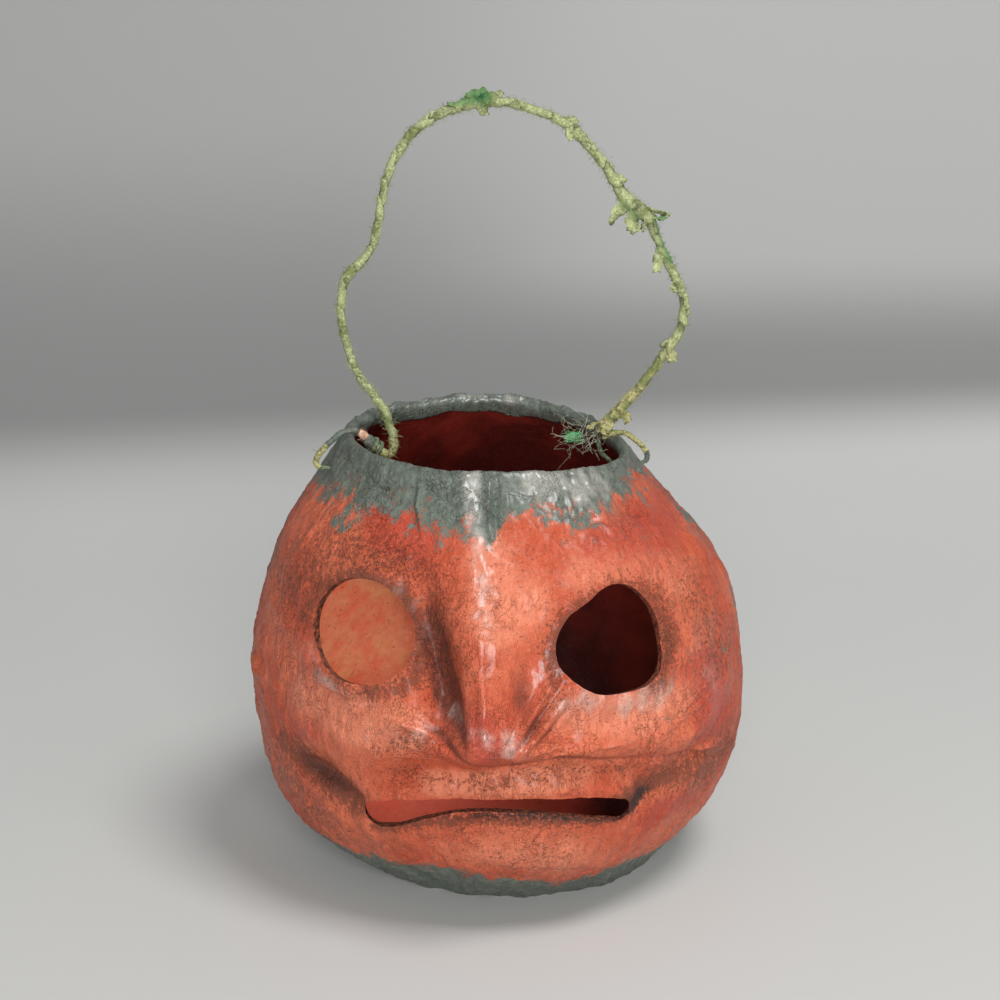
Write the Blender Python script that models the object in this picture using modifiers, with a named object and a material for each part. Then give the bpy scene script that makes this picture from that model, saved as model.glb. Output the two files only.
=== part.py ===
"""Papier-mache jack-o-lantern: a hollow hand-modelled pumpkin with a face, and a paper-wrapped wire bail.

Metres, +Z up. The origin is on the table under the middle of the body, and the face looks along -Y.
The body is a wall of pasted paper that was lofted over a form: every wall surface here is a point of
skin(), a smooth surface through four side outlines with the face added as soft strokes.
"""
import math

import bmesh
import bpy
import numpy as np
from mathutils import Vector

# Walls, laps and clearances.
WALL = 0.0025            # pasted paper wall of the pumpkin
PAPER = 0.0006           # one folded strip
GAP = 0.0003             # clearance between pieces that touch
RIM_FOLD = 0.0056        # how far the binding strip comes down the outside of the rim
RIM_FOLD_INSIDE = 0.0035
BASE_PAPER = 0.0022      # thickness of the base's floor
TONGUE_PAPER = 0.0012    # thickness of the base's lap inside the body
LAP = 0.0055             # height of that lap
SEAM_HEIGHT = 0.0085     # where the body ends and the base begins
SHELL_HEIGHT = 0.1490    # nominal height of the rim, at its left and back
FACE_FADE = (-0.10, 0.35) # the face fades out between these cosines of the azimuth

# Body outlines: share of SHELL_HEIGHT, and how far the left, right, front and back sides stand from the axis.
SECTIONS = [
    (0.0000, 0.0420, 0.0510, 0.0385, 0.0410),
    (0.0671, 0.0565, 0.0585, 0.0520, 0.0535),
    (0.1342, 0.0698, 0.0690, 0.0615, 0.0640),
    (0.2282, 0.0785, 0.0768, 0.0705, 0.0725),
    (0.3356, 0.0812, 0.0810, 0.0750, 0.0765),
    (0.4631, 0.0818, 0.0820, 0.0765, 0.0775),
    (0.5906, 0.0802, 0.0790, 0.0755, 0.0762),
    (0.6980, 0.0765, 0.0737, 0.0722, 0.0728),
    (0.7919, 0.0708, 0.0657, 0.0665, 0.0668),
    (0.8926, 0.0608, 0.0545, 0.0570, 0.0580),
    (1.0000, 0.0504, 0.0416, 0.0460, 0.0470),
]
RIM_DROP_RIGHT = 0.0065  # the rim is lower at the right and a little lower in front
RIM_DROP_FRONT = 0.0020
LEAN_DEPTH = 0.0540      # how far below the rim the body starts to lean that way
LUMP = 0.0007            # height of the slow bumps of a hand-laid wall

# The face as soft strokes: width, then points of x, z and height above the plain wall.
STROKES = {
    "nose_ridge": (0.0105, [(-0.010, 0.132, 0.001), (-0.008, 0.112, 0.0035), (-0.005, 0.092, 0.006),
                            (-0.004, 0.074, 0.0085)]),
    "nose_tip": (0.0075, [(-0.006, 0.070, 0.003), (0.000, 0.070, 0.003)]),
    "nose_crease": (0.0065, [(-0.025, 0.118, -0.002), (-0.021, 0.100, -0.005), (-0.017, 0.084, -0.006),
                             (-0.015, 0.077, -0.003)]),
    "nose_right_hollow": (0.0085, [(0.014, 0.110, -0.001), (0.016, 0.094, -0.0025)]),
    "left_wing": (0.0060, [(-0.034, 0.080, 0.001), (-0.022, 0.073, 0.0035), (-0.011, 0.068, 0.003)]),
    "right_wing": (0.0060, [(0.024, 0.092, 0.001), (0.016, 0.080, 0.003), (0.008, 0.071, 0.003)]),
    "cheek_shelf": (0.0065, [(0.010, 0.067, 0.0025), (0.026, 0.068, 0.0035), (0.042, 0.068, 0.003),
                             (0.060, 0.064, 0.002)]),
    "left_cheek": (0.0110, [(-0.056, 0.068, 0.002), (-0.040, 0.068, 0.0035), (-0.026, 0.072, 0.0015)]),
    "lip_band": (0.0050, [(-0.036, 0.056, -0.0015), (-0.018, 0.060, -0.003), (0.000, 0.062, -0.003),
                          (0.022, 0.060, -0.003), (0.044, 0.056, -0.002)]),
    "left_corner": (0.0062, [(-0.066, 0.057, -0.002), (-0.057, 0.052, -0.005), (-0.048, 0.046, -0.003)]),
    "right_corner": (0.0052, [(0.068, 0.058, -0.0015), (0.057, 0.054, -0.0035), (0.046, 0.049, -0.003)]),
    "upper_lip": (0.0038, [(-0.040, 0.048, 0.001), (-0.020, 0.054, 0.0015), (0.000, 0.056, 0.0015),
                           (0.022, 0.055, 0.0015), (0.040, 0.050, 0.001)]),
    "lower_lip": (0.0050, [(-0.040, 0.037, 0.001), (-0.018, 0.044, 0.0015), (0.002, 0.046, 0.0015),
                           (0.030, 0.043, 0.001)]),
    "chin": (0.0125, [(-0.024, 0.030, 0.002), (0.002, 0.031, 0.004), (0.028, 0.030, 0.003)]),
    "chin_crease": (0.0040, [(-0.030, 0.016, -0.002), (-0.021, 0.009, -0.002)]),
    "left_brow": (0.0085, [(-0.062, 0.118, 0.001), (-0.046, 0.124, 0.0025), (-0.030, 0.121, 0.001)]),
    "right_brow": (0.0085, [(0.014, 0.116, 0.001), (0.034, 0.123, 0.0025), (0.054, 0.114, 0.001)]),
    "left_bag": (0.0050, [(-0.062, 0.088, 0.001), (-0.046, 0.083, 0.0025), (-0.030, 0.087, 0.001)]),
    "right_bag": (0.0050, [(0.018, 0.088, 0.001), (0.036, 0.082, 0.0025), (0.054, 0.088, 0.001)]),
}

# Openings of the face: outline points across and up from a centre, in the plane of the cut.
LEFT_EYE = {"centre": (-0.0440, -0.0610, 0.1010), "turn": -34.0, "lean": 18.0,
            "outline": [(0.0000, 0.0165), (0.0115, 0.0125), (0.0180, 0.0010), (0.0150, -0.0105),
                        (0.0020, -0.0160), (-0.0120, -0.0125), (-0.0185, -0.0020), (-0.0140, 0.0110)]}
RIGHT_EYE = {"centre": (0.0350, -0.0660, 0.1000), "turn": 27.0, "lean": 18.0,
             "outline": [(0.0040, 0.0170), (0.0135, 0.0120), (0.0180, 0.0010), (0.0155, -0.0120),
                         (0.0010, -0.0165), (-0.0120, -0.0130), (-0.0180, -0.0030), (-0.0150, 0.0075),
                         (-0.0070, 0.0125)]}
MOUTH = {"centre": (-0.0010, -0.0700, 0.0450), "turn": 0.0, "lean": 0.0,
         "outline": [(-0.0410, 0.0003), (-0.0340, 0.0034), (-0.0240, 0.0052), (-0.0100, 0.0064),
                     (0.0080, 0.0066), (0.0230, 0.0056), (0.0340, 0.0044), (0.0412, 0.0008),
                     (0.0400, -0.0045), (0.0330, -0.0030), (0.0180, 0.0005), (0.0020, 0.0025),
                     (-0.0110, 0.0020), (-0.0230, -0.0015), (-0.0320, -0.0055), (-0.0395, -0.0060)]}
CUT_DEPTH = 0.036        # how far a cutter of the face reaches

# Bail: core wire, its two holes, and the paper wrapped round it.
WIRE_RADIUS = 0.00075
BORE_CLEARANCE = 0.0003  # wrap to wire
HOLE_CLEARANCE = 0.00045 # the holes were pierced with the wire, so it turns in them with little play
HOLES = {                # azimuth in degrees, drop below SHELL_HEIGHT and distance outside the skin of each hole's mouth
    "left": (283.0, 0.0100, 0.00195),
    "right": (102.75, 0.0082, 0.0),
}
WRAP_RADIUS = 0.00150    # core and wrap together, where the wrap lies tight
COIL_GAP = 0.00055       # clearance between the turns at the wire's ends, and to the strand inside them
LEFT_TURNS = 2.25
RIGHT_TURNS = 1.75
ROUTE_STEP = 0.0042      # spacing of the points of the wire and its wraps
WRAP_SPACE = 0.0010      # bare wire between one wrap and the next

# The bail's route in its own plane: along the line of the holes, up, and forward. The left half and the top are
# measured from the left hole, and what follows the top from the right one.
LEFT_STRAND = [(0.0160, 0.0026, 0.0004), (0.0110, 0.0006, 0.0), (0.0065, 0.0, 0.0), (-0.0004, 0.0, 0.0),
               (-0.0024, 0.0012, 0.0), (-0.0022, 0.0040, 0.0), (0.0012, 0.0080, 0.0), (0.0054, 0.0116, 0.0),
               (0.0095, 0.0124, 0.0), (0.0128, 0.0109, 0.0)]
LEFT_COIL = [(0.0145, 0.0088, 0.0), (0.0192, 0.0050, 0.0)]
LEFT_HOOK = [(0.0212, 0.0042, 0.0), (0.0226, 0.0062, 0.0)]
LEFT_LOWER = [(0.0224, 0.0100, 0.0), (0.0194, 0.0185, 0.0), (0.0149, 0.0250, 0.0), (0.0115, 0.0292, 0.0),
              (0.0084, 0.0350, 0.0), (0.0062, 0.0410, 0.0), (0.0042, 0.0510, 0.0), (0.0045, 0.0590, 0.0)]
LEFT_UPPER = [(0.0058, 0.0628, 0.0), (0.0085, 0.0659, 0.0), (0.0120, 0.0695, 0.0), (0.0141, 0.0738, 0.0),
              (0.0154, 0.0810, 0.0), (0.0167, 0.0905, 0.0), (0.0190, 0.0984, 0.0), (0.0220, 0.1041, 0.0)]
TOP = [(0.0257, 0.1088, 0.0), (0.0307, 0.1130, 0.0), (0.0360, 0.1156, 0.0), (0.0408, 0.1173, 0.0),
       (0.0458, 0.1188, 0.0), (0.0500, 0.1190, 0.0), (0.0546, 0.1188, 0.0)]
RIGHT_SHOULDER = [(-0.0474, 0.1179, 0.0), (-0.0407, 0.1160, 0.0), (-0.0341, 0.1136, 0.0), (-0.0296, 0.1108, 0.0)]
RIGHT_UPPER = [(-0.0237, 0.1051, 0.0), (-0.0180, 0.0992, 0.0), (-0.0139, 0.0932, 0.0), (-0.0101, 0.0882, 0.0),
               (-0.0059, 0.0852, 0.0), (-0.0023, 0.0818, 0.0)]
RIGHT_LOWER = [(0.0001, 0.0770, 0.0), (0.0046, 0.0687, 0.0), (0.0081, 0.0625, 0.0), (0.0107, 0.0575, 0.0),
               (0.0117, 0.0530, 0.0), (0.0115, 0.0487, 0.0), (0.0100, 0.0436, 0.0), (0.0071, 0.0396, 0.0),
               (0.0029, 0.0326, 0.0), (-0.0019, 0.0260, 0.0), (-0.0057, 0.0217, 0.0), (-0.0093, 0.0177, 0.0)]
RIGHT_COIL = [(-0.0105, 0.0163, 0.0), (-0.0135, 0.0127, 0.0)]
RIGHT_STRAND = [(-0.0143, 0.0108, 0.0), (-0.0129, 0.0100, 0.0), (-0.0094, 0.0106, 0.0), (-0.0059, 0.0103, 0.0),
                (-0.0015, 0.0074, 0.0), (0.0018, 0.0040, 0.0), (0.0023, 0.0012, 0.0), (0.0004, 0.0, 0.0),
                (-0.0059, 0.0, 0.0), (-0.0104, 0.0006, 0.0), (-0.0139, 0.0036, 0.0), (-0.0157, 0.0080, 0.0010)]

# Paper wraps: the stretch each covers, and its radius as a share of WRAP_RADIUS from start to end.
WRAPS = {
    "wrap_left_lower": (LEFT_LOWER, [1.0, 1.1, 1.0, 0.95, 0.95, 1.0, 1.0, 1.05]),
    "wrap_left_upper": (LEFT_UPPER, [1.25, 1.2, 1.0, 1.0, 1.0, 1.0, 1.1, 1.1]),
    "wrap_top": (TOP, [1.1, 1.3, 1.25, 1.4, 1.75, 1.5, 1.1]),
    "wrap_right_shoulder": (RIGHT_SHOULDER, [1.15, 1.05, 1.15, 1.6]),
    "wrap_right_upper": (RIGHT_UPPER, [1.2, 1.3, 1.4, 1.8, 2.1, 1.5]),
    "wrap_right_lower": (RIGHT_LOWER, [1.0, 1.15, 1.1, 1.15, 1.25, 1.25, 1.15, 1.2, 1.1, 1.25, 1.3, 1.35]),
}

# Loose ends of the wraps, as strips: route points, measured as the wrap's own, and width.
FRAYS = {
    "wrap_top": [([(0.0440, 0.1182, 0.0), (0.0462, 0.1212, 0.0006), (0.0490, 0.1232, 0.0014)], 0.0030),
                 ([(0.0480, 0.1185, 0.0), (0.0520, 0.1207, -0.0010), (0.0550, 0.1226, -0.0020)], 0.0026)],
    "wrap_right_upper": [([(-0.0094, 0.0875, 0.0), (-0.0139, 0.0838, 0.0012), (-0.0164, 0.0800, 0.0020)], 0.0034),
                         ([(-0.0069, 0.0860, 0.0), (-0.0027, 0.0882, 0.0008), (0.0023, 0.0872, 0.0015)], 0.0030),
                         ([(-0.0064, 0.0850, 0.0), (-0.0084, 0.0812, 0.0015), (-0.0069, 0.0778, 0.0024)], 0.0036)],
    "wrap_right_lower": [([(0.0026, 0.0730, 0.0), (0.0009, 0.0694, 0.0012), (0.0001, 0.0658, 0.0016)], 0.0026),
                         ([(0.0056, 0.0378, 0.0), (0.0083, 0.0372, 0.0014), (0.0103, 0.0352, 0.0022)], 0.0034)],
}
FRAY_PAPER = 0.0007      # thickness of a loose end
FRAY_TAPER = 0.12        # share of its width that a loose end loses at each point

# Resolution of the lofts.
FRONT_COLUMNS = 52
BACK_COLUMNS = 20
RING_BANDS = [(SEAM_HEIGHT, 0.026, 4), (0.026, 0.086, 16), (0.086, SHELL_HEIGHT - RIM_FOLD, 8),
              (SHELL_HEIGHT - RIM_FOLD, SHELL_HEIGHT, 1)]
OUTER_RINGS_PER_INNER_RING = 2
SIDES = 8                # sides of the wire and of its wraps
SHARP_ANGLE = math.radians(40.0)

ORANGE = (0.62, 0.17, 0.075, 1.0)
GREY_GREEN = (0.13, 0.19, 0.16, 1.0)
STRAW_GREEN = (0.38, 0.40, 0.12, 1.0)
WIRE_GREEN = (0.14, 0.17, 0.11, 1.0)


def clear_scene():
    for old in list(bpy.data.objects):
        bpy.data.objects.remove(old, do_unlink=True)


def new_collection(name):
    collection = bpy.data.collections.new(name)
    bpy.context.scene.collection.children.link(collection)
    return collection


def principled(name, colour, roughness):
    material = bpy.data.materials.new(name)
    material.use_nodes = True
    shader = material.node_tree.nodes["Principled BSDF"]
    shader.inputs["Base Color"].default_value = colour
    shader.inputs["Roughness"].default_value = roughness
    shader.inputs["Metallic"].default_value = 0.0
    return material


def add_object(name, mesh, collection, material=None):
    piece = bpy.data.objects.new(name, mesh)
    collection.objects.link(piece)
    if material:
        mesh.materials.clear()
        mesh.materials.append(material)
    return piece


def as_tool(piece):
    """Cutters and guides show as wires and stay out of renders."""
    piece.hide_render = True
    piece.display_type = "WIRE"
    return piece


def ease(low, high, value):
    """0 below low, 1 above high, and a smooth step between."""
    share = np.clip((value - low) / (high - low), 0.0, 1.0)
    return share * share * (3.0 - 2.0 * share)


def side_reach(side, height):
    """How far one side of the body stands from the axis, on a smooth curve through SECTIONS."""
    table = np.array(SECTIONS)
    heights = table[:, 0] * SHELL_HEIGHT
    reach = table[:, side]
    slopes = np.gradient(reach, heights)
    row = np.clip(np.searchsorted(heights, height, side="right") - 1, 0, len(heights) - 2)
    step = heights[row + 1] - heights[row]
    t = (height - heights[row]) / step
    return ((2 * t ** 3 - 3 * t ** 2 + 1) * reach[row] + (t ** 3 - 2 * t ** 2 + t) * step * slopes[row]
            + (3 * t ** 2 - 2 * t ** 3) * reach[row + 1] + (t ** 3 - t ** 2) * step * slopes[row + 1])


def plain_skin(azimuth, height):
    """Points of the body without its face. Azimuth is 0 in front and grows towards the right."""
    left, right, front, back = (side_reach(side, height) for side in (1, 2, 3, 4))
    across = np.sin(azimuth)
    deep = -np.cos(azimuth)
    x = (right - left) / 2 + across * (right + left) / 2
    y = (back - front) / 2 + deep * (back + front) / 2
    drop = RIM_DROP_RIGHT * np.maximum(across, 0.0) ** 2 + RIM_DROP_FRONT * np.maximum(-deep, 0.0) ** 2
    z = height - drop * ease(SHELL_HEIGHT - LEAN_DEPTH, SHELL_HEIGHT, height)
    return np.stack([x, y, z], axis=-1)


def stroke_height(points, x, z, width):
    """Height that one stroke of the face adds: greatest on its line, and gone two widths away."""
    nearest = np.full(x.shape, np.inf)
    added = np.zeros(x.shape)
    for (x0, z0, h0), (x1, z1, h1) in zip(points, points[1:]):
        run = (x1 - x0) ** 2 + (z1 - z0) ** 2
        share = np.clip(((x - x0) * (x1 - x0) + (z - z0) * (z1 - z0)) / run, 0.0, 1.0)
        away = np.hypot(x - x0 - share * (x1 - x0), z - z0 - share * (z1 - z0))
        closer = away < nearest
        nearest = np.where(closer, away, nearest)
        added = np.where(closer, h0 + share * (h1 - h0), added)
    return added * np.exp(-(nearest / width) ** 2)


def relief(azimuth, height, plain):
    """Height of the face and of the hand-laid wall's slow bumps above the plain body."""
    front = ease(FACE_FADE[0], FACE_FADE[1], np.cos(azimuth))
    face = sum(stroke_height(points, plain[..., 0], plain[..., 2], width)
               for width, points in STROKES.values())
    rise = height / SHELL_HEIGHT
    bumps = np.sin(3 * azimuth + 7 * rise) * np.sin(9 * rise) + 0.7 * np.sin(5 * azimuth - 9 * rise + 1.0)
    inside = ease(0.0, 0.03, height) * (1 - ease(SHELL_HEIGHT - 0.02, SHELL_HEIGHT, height))
    return face * front + LUMP * bumps * inside


def skin(azimuth, height, depth=0.0, rise=0.0):
    """Points of the wall: depth is measured into it, rise up along it."""
    azimuth = np.asarray(azimuth, float)
    height = np.full(azimuth.shape, height, float)
    small = 1e-4
    plain = plain_skin(azimuth, height)
    around = plain_skin(azimuth + small, height) - plain_skin(azimuth - small, height)
    below = np.maximum(height - small, 0.0)
    upward = plain_skin(azimuth, np.minimum(below + 2 * small, SHELL_HEIGHT)) - plain_skin(azimuth, below)
    normal = np.cross(around, upward)
    normal /= np.linalg.norm(normal, axis=-1, keepdims=True)
    upward /= np.linalg.norm(upward, axis=-1, keepdims=True)
    lift = relief(azimuth, height, plain) - depth
    return plain + normal * lift[..., None] + upward * rise


def hole_place(side):
    """Where the hinge line meets the mouth of one of the bail's holes."""
    azimuth, drop, outside = HOLES[side]
    return Vector(skin(math.radians(azimuth), SHELL_HEIGHT - drop, -outside))


def column_azimuths():
    """Columns of the lofts, closer together over the face than behind."""
    quarter = math.pi / 2
    front = np.linspace(-quarter, quarter, FRONT_COLUMNS, endpoint=False)
    back = np.linspace(quarter, 3 * quarter, BACK_COLUMNS, endpoint=False)
    return np.concatenate([front, back])


def ring_heights():
    """Heights of the wall's rings, closer together over the nose and mouth."""
    heights = []
    for low, high, count in RING_BANDS:
        heights.extend(np.linspace(low, high, count, endpoint=False))
    return heights + [SHELL_HEIGHT]


def loft(name, rings, closed):
    """One closed skin through rings of equal length: closed on itself, or capped at both ends."""
    mesh = bpy.data.meshes.new(name)
    form = bmesh.new()
    rows = [[form.verts.new(point) for point in ring] for ring in rings]
    pairs = list(zip(rows, rows[1:]))
    if closed:
        pairs.append((rows[-1], rows[0]))
    else:
        form.faces.new(rows[0])
        form.faces.new(rows[-1])
    for lower, upper in pairs:
        for k in range(len(lower)):
            form.faces.new((lower[k - 1], lower[k], upper[k], upper[k - 1]))
    bmesh.ops.recalc_face_normals(form, faces=form.faces)
    form.to_mesh(mesh)
    form.free()
    mesh.shade_smooth()
    mesh.set_sharp_from_angle(angle=SHARP_ANGLE)
    return mesh


def mesh_from_curve(curve_object, name):
    """Turns a curve object into a welded mesh, without its place, and removes the curve."""
    bpy.context.view_layer.update()
    graph = bpy.context.evaluated_depsgraph_get()
    mesh = bpy.data.meshes.new_from_object(curve_object.evaluated_get(graph))
    mesh.name = name
    form = bmesh.new()
    form.from_mesh(mesh)
    bmesh.ops.remove_doubles(form, verts=form.verts, dist=0.00001)
    form.to_mesh(mesh)
    form.free()
    bpy.data.objects.remove(curve_object, do_unlink=True)
    return mesh


def cut(piece, cutter):
    boolean = piece.modifiers.new("cut_" + cutter.name, "BOOLEAN")
    boolean.operation = "DIFFERENCE"
    boolean.solver = "EXACT"
    boolean.object = cutter


def join(piece, addition):
    boolean = piece.modifiers.new("join_" + addition.name, "BOOLEAN")
    boolean.operation = "UNION"
    boolean.solver = "EXACT"
    boolean.object = addition


def make_face_cutter(name, opening, cutters):
    """A prism over a smooth outline, turned to face out of the wall."""
    curve = bpy.data.curves.new(name, "CURVE")
    curve.dimensions = "2D"
    curve.fill_mode = "BOTH"
    curve.extrude = CUT_DEPTH / 2
    curve.resolution_u = 3
    spline = curve.splines.new("BEZIER")
    spline.bezier_points.add(len(opening["outline"]) - 1)
    for point, (across, up) in zip(spline.bezier_points, opening["outline"]):
        point.co = (across, up, 0.0)
        point.handle_left_type = "AUTO"
        point.handle_right_type = "AUTO"
    spline.use_cyclic_u = True
    outline = bpy.data.objects.new(name + "_outline", curve)
    cutters.objects.link(outline)
    outline.location = opening["centre"]
    outline.rotation_euler = (math.radians(90.0 - opening["lean"]), 0.0, math.radians(opening["turn"]))
    place = outline.location.copy()
    turn = outline.rotation_euler.copy()
    cutter = as_tool(add_object(name, mesh_from_curve(outline, name), cutters))
    cutter.location = place
    cutter.rotation_euler = turn
    return cutter


def make_hole_cutter(name, hole, inward, cutters):
    """A short round bar on the line of the holes, through one wall only."""
    length = 0.012
    bpy.ops.mesh.primitive_cylinder_add(vertices=16, radius=WIRE_RADIUS + HOLE_CLEARANCE,
                                        depth=length)
    cutter = as_tool(bpy.context.active_object)
    cutter.name = name
    for collection in list(cutter.users_collection):
        collection.objects.unlink(cutter)
    cutters.objects.link(cutter)
    cutter.location = hole + inward * (length / 2 - 0.005)
    cutter.rotation_euler = inward.to_track_quat("Z", "Y").to_euler()
    return cutter


def make_shell(parts, cutters, paint):
    """The pumpkin's wall, from the seam above the base to the rim, with its eyes, mouth and two bail holes."""
    azimuths = column_azimuths()
    heights = ring_heights()
    inner = heights[::-1][::OUTER_RINGS_PER_INNER_RING]
    if inner[-1] > SEAM_HEIGHT:
        inner.append(SEAM_HEIGHT)
    rings = [skin(azimuths, height) for height in heights]
    rings += [skin(azimuths, height, WALL) for height in inner]
    shell = add_object("pumpkin_shell", loft("pumpkin_shell", rings, closed=True), parts, paint)
    for name, opening in (("left_eye", LEFT_EYE), ("right_eye", RIGHT_EYE), ("mouth", MOUTH)):
        cut(shell, make_face_cutter(name, opening, cutters))
    left, right = hole_place("left"), hole_place("right")
    line = (right - left).normalized()
    cut(shell, make_hole_cutter("left_bail_hole", left, line, cutters))
    cut(shell, make_hole_cutter("right_bail_hole", right, -line, cutters))
    return shell


def make_rim_binding(parts, paint):
    """A strip of pasted paper folded over the cut edge of the opening."""
    azimuths = column_azimuths()
    low = SHELL_HEIGHT - RIM_FOLD
    low_inside = SHELL_HEIGHT - RIM_FOLD_INSIDE
    outside = GAP + PAPER
    section = [(low, -outside, 0.0), (SHELL_HEIGHT, -outside, GAP), (SHELL_HEIGHT, 0.0, outside),
               (SHELL_HEIGHT, WALL, outside), (SHELL_HEIGHT, WALL + outside, GAP),
               (low_inside, WALL + outside, 0.0), (low_inside, WALL + GAP, 0.0),
               (SHELL_HEIGHT, WALL + GAP, GAP), (SHELL_HEIGHT, -GAP, GAP), (low, -GAP, 0.0)]
    rings = [skin(azimuths, height, depth, rise) for height, depth, rise in section]
    return add_object("rim_binding", loft("rim_binding", rings, closed=True), parts, paint)


def make_base(parts, paint):
    """The pasted base: a flat floor whose edge carries the body's outline up to the seam, with a lap inside."""
    azimuths = column_azimuths()
    outside = skin(azimuths, 0.0)
    outside[:, 2] = 0.0
    centre = outside.mean(axis=0)
    floor = centre + (outside - centre) * 0.9
    floor[:, 2] = BASE_PAPER
    inside = WALL + GAP
    rings = [outside]
    rings += [skin(azimuths, SEAM_HEIGHT * share) for share in (0.35, 0.7)]
    rings.append(skin(azimuths, SEAM_HEIGHT, 0.0, -GAP))
    rings.append(skin(azimuths, SEAM_HEIGHT, inside, -GAP))
    rings.append(skin(azimuths, SEAM_HEIGHT + LAP, inside))
    rings.append(skin(azimuths, SEAM_HEIGHT + LAP, inside + TONGUE_PAPER))
    rings.append(skin(azimuths, SEAM_HEIGHT * 0.6, BASE_PAPER + TONGUE_PAPER))
    rings.append(floor)
    return add_object("base_cap", loft("base_cap", rings, closed=False), parts, paint)


def smooth_path(points, step):
    """Points along a smooth curve through the route, and the place of each route point among them."""
    route = [np.array(point) for point in points]
    padded = [2 * route[0] - route[1]] + route + [2 * route[-1] - route[-2]]
    path = [route[0]]
    places = [0]
    for p0, p1, p2, p3 in zip(padded, padded[1:], padded[2:], padded[3:]):
        count = max(1, round(float(np.linalg.norm(p2 - p1)) / step))
        knots = [0.0]
        for start, end in ((p0, p1), (p1, p2), (p2, p3)):
            knots.append(knots[-1] + math.sqrt(float(np.linalg.norm(end - start))))
        for k in range(1, count + 1):
            t = knots[1] + (knots[2] - knots[1]) * k / count
            low = [((knots[j + 1] - t) * a + (t - knots[j]) * b) / (knots[j + 1] - knots[j])
                   for j, (a, b) in enumerate(((p0, p1), (p1, p2), (p2, p3)))]
            mid = [((knots[j + 2] - t) * low[j] + (t - knots[j]) * low[j + 1]) / (knots[j + 2] - knots[j])
                   for j in (0, 1)]
            path.append(((knots[2] - t) * mid[0] + (t - knots[1]) * mid[1]) / (knots[2] - knots[1]))
        places.append(len(path) - 1)
    return path, places


def coil_points(start, end, turns, toward):
    """Turns of the wire's end round its own strand, from end to start, beginning on the side named."""
    start, end = np.array(start), np.array(end)
    radius = 2 * WIRE_RADIUS + COIL_GAP
    axis = (end - start) / np.linalg.norm(end - start)
    first = np.array(toward) - axis * np.dot(toward, axis)
    first /= np.linalg.norm(first)
    second = np.cross(axis, first)
    pitch = 2 * WIRE_RADIUS + COIL_GAP
    middle = (start + end) / 2
    count = round(turns * 10)
    points = []
    for k in range(count + 1):
        angle = 2 * math.pi * turns * k / count
        along = pitch * turns * (k / count - 0.5)
        points.append(middle + axis * along + radius * (math.cos(angle) * first + math.sin(angle) * second))
    return points


def from_left_hole(points):
    """Points of the bail's plane that are given from the right hole, measured from the left one."""
    span = (hole_place("right") - hole_place("left")).length
    return [(span + along, up, forward) for along, up, forward in points]


def bail_route():
    """The whole wire in the bail's plane, and where each hand-set point lies along it."""
    left = LEFT_STRAND + LEFT_COIL + LEFT_HOOK + LEFT_LOWER + LEFT_UPPER + TOP
    right = RIGHT_SHOULDER + RIGHT_UPPER + RIGHT_LOWER + RIGHT_COIL + RIGHT_STRAND
    path, places = smooth_path(left + from_left_hole(right), ROUTE_STEP)
    left_coil = coil_points(*LEFT_COIL, LEFT_TURNS, (0.0, -1.0, 0.0))[::-1]
    right_coil = coil_points(*from_left_hole(RIGHT_COIL), -RIGHT_TURNS, (-1.0, 0.0, 0.0))
    whole = left_coil[:-1] + path + right_coil
    offset = len(left_coil) - 1
    index = {point: offset + place for point, place in zip(left + right, places)}
    return whole, index


def report_least_gap(path):
    """Prints the least gap of the wire to itself, measured on its points."""
    points = np.array(path)
    steps = np.linalg.norm(np.diff(points, axis=0), axis=1)
    run = np.concatenate([[0.0], np.cumsum(steps)])
    least = min(float(np.linalg.norm(points[k] - points[j]))
                for k in range(len(points)) for j in range(k)
                if run[k] - run[j] > 8 * WIRE_RADIUS)
    print("bail wire: length %.1f mm, least gap to itself %.2f mm"
          % (run[-1] * 1000, (least - 2 * WIRE_RADIUS) * 1000))


def place_in_bail(point):
    """A point of the bail's plane, measured from the left hole, in metres along X, Y and Z."""
    along = (hole_place("right") - hole_place("left")).normalized()
    forward = along.cross(Vector((0.0, 0.0, 1.0))).normalized()
    up = forward.cross(along)
    return along * point[0] + up * point[1] + forward * point[2]


def tube_curve(name, points, radius, shares, collection):
    """A round bar with filled ends along points, thicker and thinner by shares of its radius."""
    curve = bpy.data.curves.new(name, "CURVE")
    curve.dimensions = "3D"
    curve.bevel_depth = radius
    curve.bevel_resolution = (SIDES - 4) // 2
    curve.use_fill_caps = True
    curve.twist_mode = "MINIMUM"
    spline = curve.splines.new("POLY")
    spline.points.add(len(points) - 1)
    for knot, point, share in zip(spline.points, points, shares):
        knot.co = (*place_in_bail(point), 1.0)
        knot.radius = share
    tube = bpy.data.objects.new(name, curve)
    collection.objects.link(tube)
    return tube


def make_wire(path, parts, carrier, paint):
    """The bail's core: one wire whose ends go out over the rim, in through the holes and round themselves."""
    tube = tube_curve("bail_wire", path, WIRE_RADIUS, [1.0] * len(path), parts)
    tube.data.materials.append(paint)
    tube.parent = carrier
    return tube


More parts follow.
